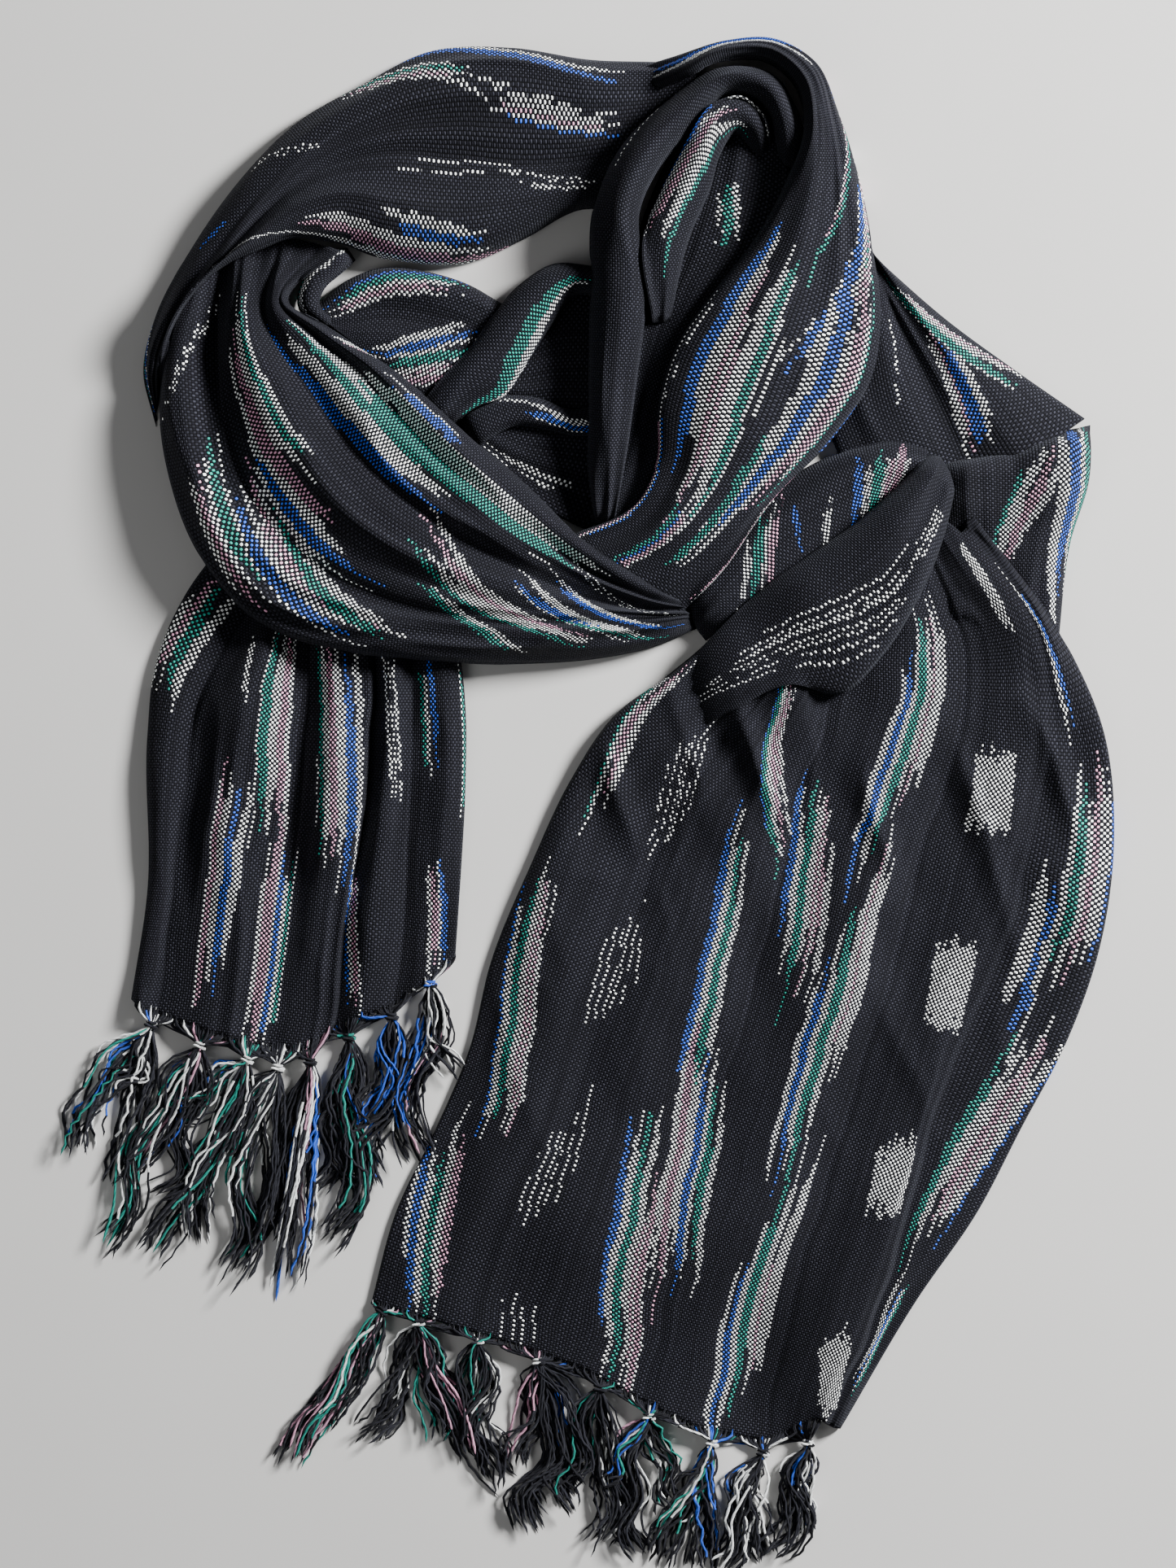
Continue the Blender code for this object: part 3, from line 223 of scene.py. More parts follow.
LOWER_BAND = Stretch("lower_band", True,
    ("left_tail", "inner_bed", "inner_loop", "inner_leaf", "inner_roll", "inner_hem", "right_arc", "neck"), (
    Fold("outer edge", EDGE, (0.3, 0.3, 0.5, 1.9, 1.9, 0.4, 0.4), (
        (-19.9, 25.4), (-21, 21.5), (-21.2, 18.6), (-20.7, 15.6), (-19.4, 12.2), (-16.4, 8.7), (-12, 7.2),
        (-8, 6.75), (-4, 6.6), (0, 6.8), (3, 7.4), (5.2, 8.3))),
    Fold("outer ridge", CREST, (1.3, 2.6, 2.9, 3, 2.8, 2.4, 2), (
        (-19, 26.2), (-19.9, 21.6), (-19.8, 18.6), (-19.1, 15.4), (-17.4, 12.4), (-14.4, 10), (-11, 8.9),
        (-7.6, 8.3), (-4, 7.9), (0, 7.8), (3, 8.1), (5.1, 8.6))),
    Fold("crevice", VALLEY, (0.8, 1.3, 1.8, 2.4, 2.4, 2.2, 1.9), (
        (-18.2, 26.9), (-18.3, 22), (-18, 18.6), (-17.3, 15.8), (-15.6, 13.3), (-13, 11.2), (-10, 9.8), (-7, 9),
        (-4, 8.6), (0, 8.4), (3, 8.5), (5, 8.8))),
    Fold("striped ridge", CREST, (0.9, 3, 3.6, 3.6, 3.3, 2.8, 2.2), (
        (-16.8, 27.2), (-17, 22.6), (-16.1, 19.4), (-14.8, 16.8), (-12.8, 14.2), (-10.2, 12.2), (-7.6, 10.9),
        (-5, 10), (-2.6, 9.5), (0.6, 9), (3.2, 8.9), (4.95, 8.95))),
    Fold("long valley", VALLEY, (0.8, 2.2, 2.8, 2.9, 2.8, 2.5, 2.1), (
        (-15.4, 27.3), (-15.9, 23.4), (-13.9, 20), (-12.2, 17.6), (-10.2, 15.4), (-8.2, 13.8), (-6, 12.4),
        (-3.8, 11.2), (-1.8, 10.3), (1, 9.4), (3.3, 9.1), (4.9, 9.1))),
    Fold("middle ridge", CREST, (0.9, 2.8, 3.6, 3.6, 3.3, 2.8, 2.2), (
        (-14.2, 27.3), (-15.4, 23.9), (-14, 22.4), (-12.2, 20.2), (-10.4, 17.9), (-8.4, 15.8), (-6.4, 14.2),
        (-4.6, 12.8), (-2.8, 11.7), (-1, 10.8), (1.4, 9.8), (3.4, 9.3), (4.85, 9.2))),
    Fold("upper valley", VALLEY, (0.9, 2.2, 2.9, 3, 2.8, 2.5, 2.1), (
        (-13.4, 27.1), (-15.2, 24.1), (-13.5, 22.5), (-11.2, 20.5), (-9.3, 18.4), (-7.3, 16.3), (-5.4, 14.7),
        (-3.8, 13.4), (-2.2, 12.3), (-0.6, 11.2), (1.7, 10.1), (3.5, 9.5), (4.8, 9.3))),
    Fold("upper ridge", CREST, (1.1, 2.4, 3.3, 3.3, 3.1, 2.7, 2.2), (
        (-12.8, 26.9), (-15, 24.2), (-13.2, 22.8), (-10.3, 20.7), (-8.4, 18.8), (-6.4, 16.8), (-4.6, 15.3),
        (-3.1, 14), (-1.7, 12.8), (-0.2, 11.7), (1.9, 10.4), (3.6, 9.7), (4.75, 9.4))),
    Fold("upper edge", EDGE, (0.9, 1.4, 1.8, 1.8, 1.8, 1.8, 1.7), (
        (-12.3, 26.7), (-14.8, 24.2), (-12.9, 23), (-11.4, 22), (-9.6, 20.8), (-7.6, 19.1), (-5.7, 17.3),
        (-3.9, 15.8), (-2.5, 14.5), (-1.2, 13.2), (0.2, 12.1), (2.2, 10.8), (3.7, 9.9), (4.7, 9.5))),
))

TOP_ARC = Stretch("top_arc", True, ("lower_band", "inner_loop", "inner_leaf"), (
    Fold("outer edge", EDGE, (0.3, 0.3), (
        (5.4, 36), (3.2, 36.1), (0, 36.2), (-4, 36.8), (-8, 36.6), (-11.2, 35), (-14.6, 33), (-17, 30.6),
        (-19.6, 27), (-21.4, 23.6), (-22, 21), (-21.4, 18.2))),
    Fold("outer ridge", CREST, (1.5, 2.1, 2.3, 2.3, 2.2, 1.9, 1.2), (
        (5.4, 35), (3.2, 34.8), (0, 34.7), (-4, 35.2), (-7.8, 34.9), (-10.8, 33.7), (-13.6, 31.8), (-16, 29.6),
        (-18.4, 26.5), (-20.6, 23.4), (-21.5, 20.9), (-21.4, 18.8))),
    Fold("long valley", VALLEY, (1, 1.2, 1.5, 1.8, 2, 2, 1.4), (
        (4.6, 33.2), (3.2, 32.2), (0, 31.2), (-3.4, 30.9), (-6.8, 31.2), (-10, 31.4), (-13, 30.7),
        (-15.4, 28.9), (-17.8, 26.4), (-20, 23.8), (-21.1, 21.2), (-21.3, 19.2))),
    Fold("inner ridge", CREST, (1.4, 2.1, 2.6, 3, 3.1, 2.6, 1.6), (
        (3.2, 31.1), (2.4, 30.4), (-0.4, 29.4), (-3, 28.8), (-6, 28.3), (-9.4, 28.4), (-12.4, 28.9),
        (-14.6, 28.2), (-16.8, 26.9), (-19.2, 24.9), (-20.8, 22.4), (-21.2, 19.8))),
    Fold("selvedge", EDGE, (0.8, 0.5, 0.5, 0.8, 2.4, 2.2, 1.3), (
        (2.6, 29.8), (2, 29.2), (-0.8, 28.8), (-3.2, 27.5), (-6, 26.3), (-9.6, 26.3), (-12.4, 27.1),
        (-14.4, 27.4), (-16.4, 26.7), (-18.6, 25.5), (-20.3, 23.2), (-21, 20.2))),
))

RIGHT_ARC = Stretch("right_arc", True,
    ("top_arc", "far_band", "shoulder", "neck", "hump_roll", "inner_slope", "inner_bed"), (
    Fold("inner edge", EDGE, (1.6, 1.9, 2.3, 2.6, 2.6, 2.8, 3, 1.2), (
        (-1, 12.7), (2.3, 14.5), (3.2, 16.4), (3.3, 19), (4.2, 22), (6, 24.6), (8, 27.2), (9.5, 30),
        (10.3, 32.6), (10, 34.6), (8.6, 35.9), (6.6, 35.9), (4.6, 35), (1.8, 34.3))),
    Fold("face crest", CREST, (2, 2.8, 3.4, 3.7, 3.8, 3.9, 3.9, 1.8), (
        (0.2, 11.6), (3.2, 13), (5, 15.4), (6, 18.4), (7.2, 21.4), (8.6, 24.2), (9.9, 27), (10.7, 30),
        (10.9, 32.8), (10.4, 35), (8.8, 36.3), (6.6, 36.3), (4.3, 35.4), (1.6, 34.6))),
    Fold("stripe valley", VALLEY, (1.8, 2.4, 2.9, 3.2, 3.3, 3.5, 3.5, 1.7), (
        (1.2, 10.6), (4.4, 12.2), (6.8, 14.8), (8.6, 17.8), (9.8, 20.8), (10.8, 23.8), (11.5, 27), (11.7, 30),
        (11.4, 32.9), (10.7, 35.3), (8.9, 36.55), (6.5, 36.55), (4.2, 35.7), (1.4, 34.9))),
    Fold("outer crest", CREST, (1.7, 2.3, 2.6, 2.8, 2.9, 2.9, 2.8, 1.5), (
        (2.6, 9.6), (5.2, 11.4), (8, 14.4), (10.4, 17.3), (12.2, 20.3), (12.9, 23.8), (12.8, 27), (12.4, 30),
        (11.8, 33.1), (10.9, 35.6), (8.95, 36.8), (6.45, 36.75), (4.1, 36), (1.3, 35.2))),
    Fold("outer edge", EDGE, (1.2, 1.5, 1.7, 1.5, 0.8, 0.4, 0.4, 0.3), (
        (4, 8.7), (6.1, 10.7), (8.8, 14.5), (11.4, 17.2), (13.7, 20.6), (14.1, 24), (13.7, 27), (13.1, 30.2),
        (12.1, 33.5), (11, 35.9), (9, 37.05), (6.4, 36.95), (4, 36.25), (1.2, 35.5))),
))

HUMP_ROLL = Stretch("hump_roll", True, ("top_arc", "inner_bed", "inner_slope", "inner_roll", "inner_hem"), (
    Fold("outer edge", EDGE, (1.6, 1.8, 1.8, 1.7, 1.4), (
        (10.4, 30.4), (10.2, 33), (8.9, 35.2), (6.4, 35.6), (3.6, 33.9), (1.2, 31.4), (0.1, 28.6), (0, 25),
        (-0.1, 20), (-0.1, 15.6), (0.2, 13.2))),
    Fold("crest", CREST, (3.4, 4, 4.2, 3.8, 2.9, 1.5), (
        (9.7, 30.4), (9.5, 32.7), (8.4, 34.5), (6.5, 34.9), (4.4, 33.3), (2.3, 31), (1.2, 28.7), (1.4, 26),
        (1, 20), (0.7, 15.4), (0.6, 13.1))),
    Fold("inner edge", EDGE, (2.2, 2.6, 2.6, 2.2, 1.6), (
        (9.1, 30.4), (8.9, 32.3), (8.1, 33.9), (6.6, 34.2), (5.1, 32.7), (3.2, 30.6), (2.3, 28.6), (2.6, 25.6),
        (2.1, 20), (1.4, 15.2), (1, 13))),
))

HUMP_PATCH = Stretch("hump_patch", True, ("inner_bed", "inner_slope", "hump_roll"), (
    Fold("left edge", EDGE, (1.3, 2.2, 2.2, 1.8), (
        (3, 23), (2.5, 27.2), (3.5, 29.8), (4.6, 31.8), (5.9, 33.6), (7.2, 34), (8.3, 33.2), (8.8, 31))),
    Fold("crest", CREST, (1.6, 3.2, 3.4, 2.8), (
        (3.4, 23), (3.6, 27.2), (4.6, 29.8), (5.4, 31.5), (6.3, 32.9), (7.1, 33.2), (7.8, 32.6), (8.3, 31))),
    Fold("right edge", EDGE, (1.3, 2, 2, 1.6), (
        (3.8, 23), (4.7, 27.2), (5.8, 29.8), (6.2, 31.2), (6.7, 32.1), (7, 32.4), (7.4, 32), (7.8, 31))),
))

INNER_SLOPE = Stretch("inner_slope", True, ("inner_bed", "inner_hem"), (
    Fold("left edge", EDGE, (1.4, 1.2, 0.9), (
        (4.8, 33.6), (2.2, 27), (1.6, 22), (0.8, 17), (0, 13.6))),
    Fold("trough", VALLEY, (1.5, 1.3, 1), (
        (6.9, 34.5), (4.9, 27), (3, 22), (1.8, 17), (0.6, 13.3))),
    Fold("slope", SLOPE, (1.9, 1.8, 1.2), (
        (8.6, 34.6), (7.2, 27), (4.4, 22), (2.8, 17), (1.2, 13))),
    Fold("right edge", EDGE, (2, 1.9, 1.3), (
        (9.6, 34), (9, 27), (5.4, 22), (3.9, 17), (1.8, 12.7))),
))

INNER_BED = Stretch("inner_bed", True, (), (
    Fold("upper edge", EDGE, (0.4, 0.4), (
        (-12.6, 24.4), (-9, 24.6), (-6, 24.2), (-4, 23.6), (-1.6, 25), (0.4, 24.8), (2, 24))),
    Fold("upper swell", CREST, (0.8, 0.8), (
        (-11.8, 23.3), (-9.2, 22.4), (-6.6, 21.6), (-4, 21), (-1.6, 21.4), (0.6, 21.4), (2.6, 21))),
    Fold("trough", VALLEY, (0.6, 0.6), (
        (-10.8, 22.2), (-8.4, 20.4), (-5.8, 18.6), (-3.4, 17.4), (-1.2, 17.2), (0.8, 17), (2.8, 17))),
    Fold("lower edge", EDGE, (0.5, 0.5), (
        (-10.2, 21.2), (-7.6, 18.8), (-5, 16.6), (-2.8, 14.6), (-0.8, 13.4), (1, 12.8), (2.6, 12.6))),
))

INNER_LEAF = Stretch("inner_leaf", True, ("inner_bed",), (
    Fold("upper edge", EDGE, (0.5, 0.8, 0.5), (
        (-13.6, 24), (-12.2, 25.2), (-10.4, 25.9), (-8, 25.7), (-6, 25.1), (-4.4, 24.2))),
    Fold("rim", CREST, (1.4, 1.8, 1.4), (
        (-13.4, 23.7), (-12, 24.6), (-10.2, 25.1), (-8.1, 24.9), (-6.3, 24.4), (-4.7, 23.6))),
    Fold("dark fold", VALLEY, (1.2, 1.2, 1.2), (
        (-13.1, 23.3), (-11.8, 23.2), (-10.2, 23.4), (-8.4, 23.2), (-6.8, 22.8), (-5.2, 22.2))),
    Fold("striped fold", CREST, (1.3, 1.7, 1.7), (
        (-12.4, 22.8), (-11.2, 22), (-9.9, 21.8), (-8.7, 21.4), (-7.6, 20.8), (-6.4, 20.2))),
    Fold("lower edge", EDGE, (1, 1.1, 1), (
        (-11.8, 22.2), (-10.8, 21.2), (-9.8, 20.4), (-8.9, 19.8), (-8, 19.2), (-7, 18.8))),
))

INNER_ROLL = Stretch("inner_roll", True, ("inner_bed", "inner_leaf", "inner_hem"), (
    Fold("left edge", EDGE, (1, 1.4, 1.2), (
        (-8.8, 18.6), (-7.4, 20.4), (-6, 21.9), (-4.8, 23.6), (-3.4, 25.1), (-2, 26), (0.6, 25.9))),
    Fold("crest", CREST, (1.8, 2.4, 2.3), (
        (-7.9, 18.3), (-6.6, 19.9), (-5.2, 21.2), (-4, 22.7), (-2.7, 24.3), (-1.4, 25.3), (0.8, 25.3))),
    Fold("striped edge", EDGE, (0.9, 1.2, 1.2), (
        (-7, 18), (-5.6, 19.1), (-4.3, 19.6), (-3.2, 21.2), (-2, 23.1), (-0.8, 24.6), (1, 24.5))),
))

INNER_HEM = Stretch("inner_hem", True, ("inner_bed",), (
    Fold("upper edge", EDGE, (0.9, 0.9), (
        (-6.6, 18.5), (-4, 19.7), (-2.4, 19.5), (-1, 19), (0.2, 19.3), (0.8, 20.6))),
    Fold("crest", CREST, (1.5, 1.5), (
        (-6.2, 17.8), (-3.8, 19), (-2.3, 18.8), (-0.8, 18.3), (0.7, 18.7), (1.3, 20.4))),
    Fold("lower edge", EDGE, (0.9, 0.9), (
        (-5.8, 17.1), (-3.6, 18.2), (-2.2, 18), (-0.6, 17.7), (1.1, 18.1), (1.9, 20.2))),
))

INNER_LOOP = Stretch("inner_loop", True, ("inner_leaf", "inner_bed"), (
    Fold("outer edge", EDGE, (1, 1.2, 1.2), (
        (-12.9, 22.8), (-14.3, 24), (-14, 25.4), (-12.9, 26.4), (-12, 27))),
    Fold("crest", CREST, (1.9, 2.2, 1.9), (
        (-12.6, 23), (-13.8, 24.1), (-13.6, 25.1), (-12.6, 26), (-11.8, 26.7))),
    Fold("inner edge", EDGE, (1.2, 1.4, 1.2), (
        (-12.4, 23.2), (-13.3, 24.2), (-13.1, 24.9), (-12.3, 25.7), (-11.6, 26.4))),
))

FAR_BAND = Stretch("far_band", True, (), (
    Fold("left edge", EDGE, (0.5, 0.6, 0.8), (
        (12.2, 26.6), (11.6, 23), (11.2, 19.6), (12.4, 16.2))),
    Fold("dark ridge", CREST, (1.2, 1.6, 1.4), (
        (13.2, 26.8), (13.9, 23), (14.6, 19.6), (16, 16))),
    Fold("stripe valley", VALLEY, (0.9, 1.1, 1.1), (
        (13.5, 26.8), (15.2, 23), (16.9, 19.6), (18.5, 16))),
    Fold("outer ridge", CREST, (1.1, 1.6, 1.6), (
        (13.7, 26.7), (16.2, 23.4), (18.7, 20.2), (21.4, 16.6))),
    Fold("outer edge", EDGE, (0.3, 0.3), (
        (13.9, 26.5), (17.6, 23.3), (20.6, 21.1), (24.2, 18.6))),
))

SHOULDER = Stretch("shoulder", True, ("far_band", "neck"), (
    Fold("left edge", EDGE, (1.6, 1.5), (
        (16.9, 16.4), (17, 13.8), (17.2, 11.4), (17.6, 9))),
    Fold("left crest", CREST, (2.8, 2.3, 1.6, 1.6, 1.6), (
        (18.2, 16.6), (18.4, 13.8), (18.7, 11.2), (19, 8.6))),
    Fold("soft valley", VALLEY, (2.2, 1.6, 1.1), (
        (20.6, 17.1), (20.6, 14), (20.5, 11.2), (20.6, 8.2))),
    Fold("striped crest", CREST, (2.6, 2.2, 1.5, 1.5, 1.5), (
        (23.2, 18), (23, 15), (22.2, 12), (21.9, 7.9))),
    Fold("right edge", EDGE, (0.4, 0.3), (
        (24.5, 18.3), (24.4, 15.6), (23.5, 12.6), (22.9, 7.6))),
))

NECK = Stretch("neck", True, ("far_band",), (
    Fold("upper edge", EDGE, (0.8, 0.9), (
        (4.2, 9.4), (7, 13.3), (10, 15.8), (12.6, 17), (15, 17.4), (16.4, 17))),
    Fold("crest", CREST, (2, 2.3, 2.2), (
        (4.8, 8.7), (7.8, 12.1), (10.3, 14), (12.7, 15.4), (14.9, 16.2), (16.3, 16.2))),
    Fold("lower edge", EDGE, (1.1, 1.2), (
        (5.6, 7.7), (8.4, 9.5), (10.8, 11.4), (12.8, 13), (14.7, 14.6), (16.1, 15.3))),
))

HOOD = Stretch("hood", True, ("right_tail", "neck", "shoulder"), (
    Fold("upper edge", EDGE, (2, 2, 2, 1.6, 1.1), (
        (16.6, 16.9), (14.8, 15.1), (13, 13.5), (11, 12.1), (9, 10.7), (7, 9), (5.2, 7.2), (3.6, 5.9))),
    Fold("crest", CREST, (3.4, 4.2, 3.9, 2.6, 1.5), (
        (17.1, 16.7), (15.7, 14.3), (14, 12.1), (12, 10.4), (10, 8.9), (8, 7.3), (6, 5.9), (3.9, 4.6))),
    Fold("lower slope", SLOPE, (3, 3.8, 3.2, 2, 1.3), (
        (17.5, 16.2), (16.6, 13.6), (15.3, 10.8), (13.4, 8.5), (11.1, 7.2), (8.8, 6.1), (6.6, 4.9),
        (4.3, 3.7))),
    Fold("lower edge", EDGE, (2.2, 2.4, 2.2, 1.6, 1.1), (
        (17.8, 15.6), (17.2, 12.9), (16, 9.9), (14.2, 7), (12.1, 5.1), (9.6, 5.5), (7, 4.3), (4.7, 3))),
))

STRETCHES = (LEFT_TAIL, INNER_BED, FAR_BAND, NECK, SHOULDER, RIGHT_TAIL, INNER_HEM, INNER_SLOPE, INNER_LEAF,
             INNER_ROLL, INNER_LOOP, TOP_ARC, HUMP_ROLL, HUMP_PATCH, RIGHT_ARC, LOWER_BAND, HOOD)

DASHES = "D1 N3 D1 N3 D1 N2 D2 N3 D1 N3 D1"

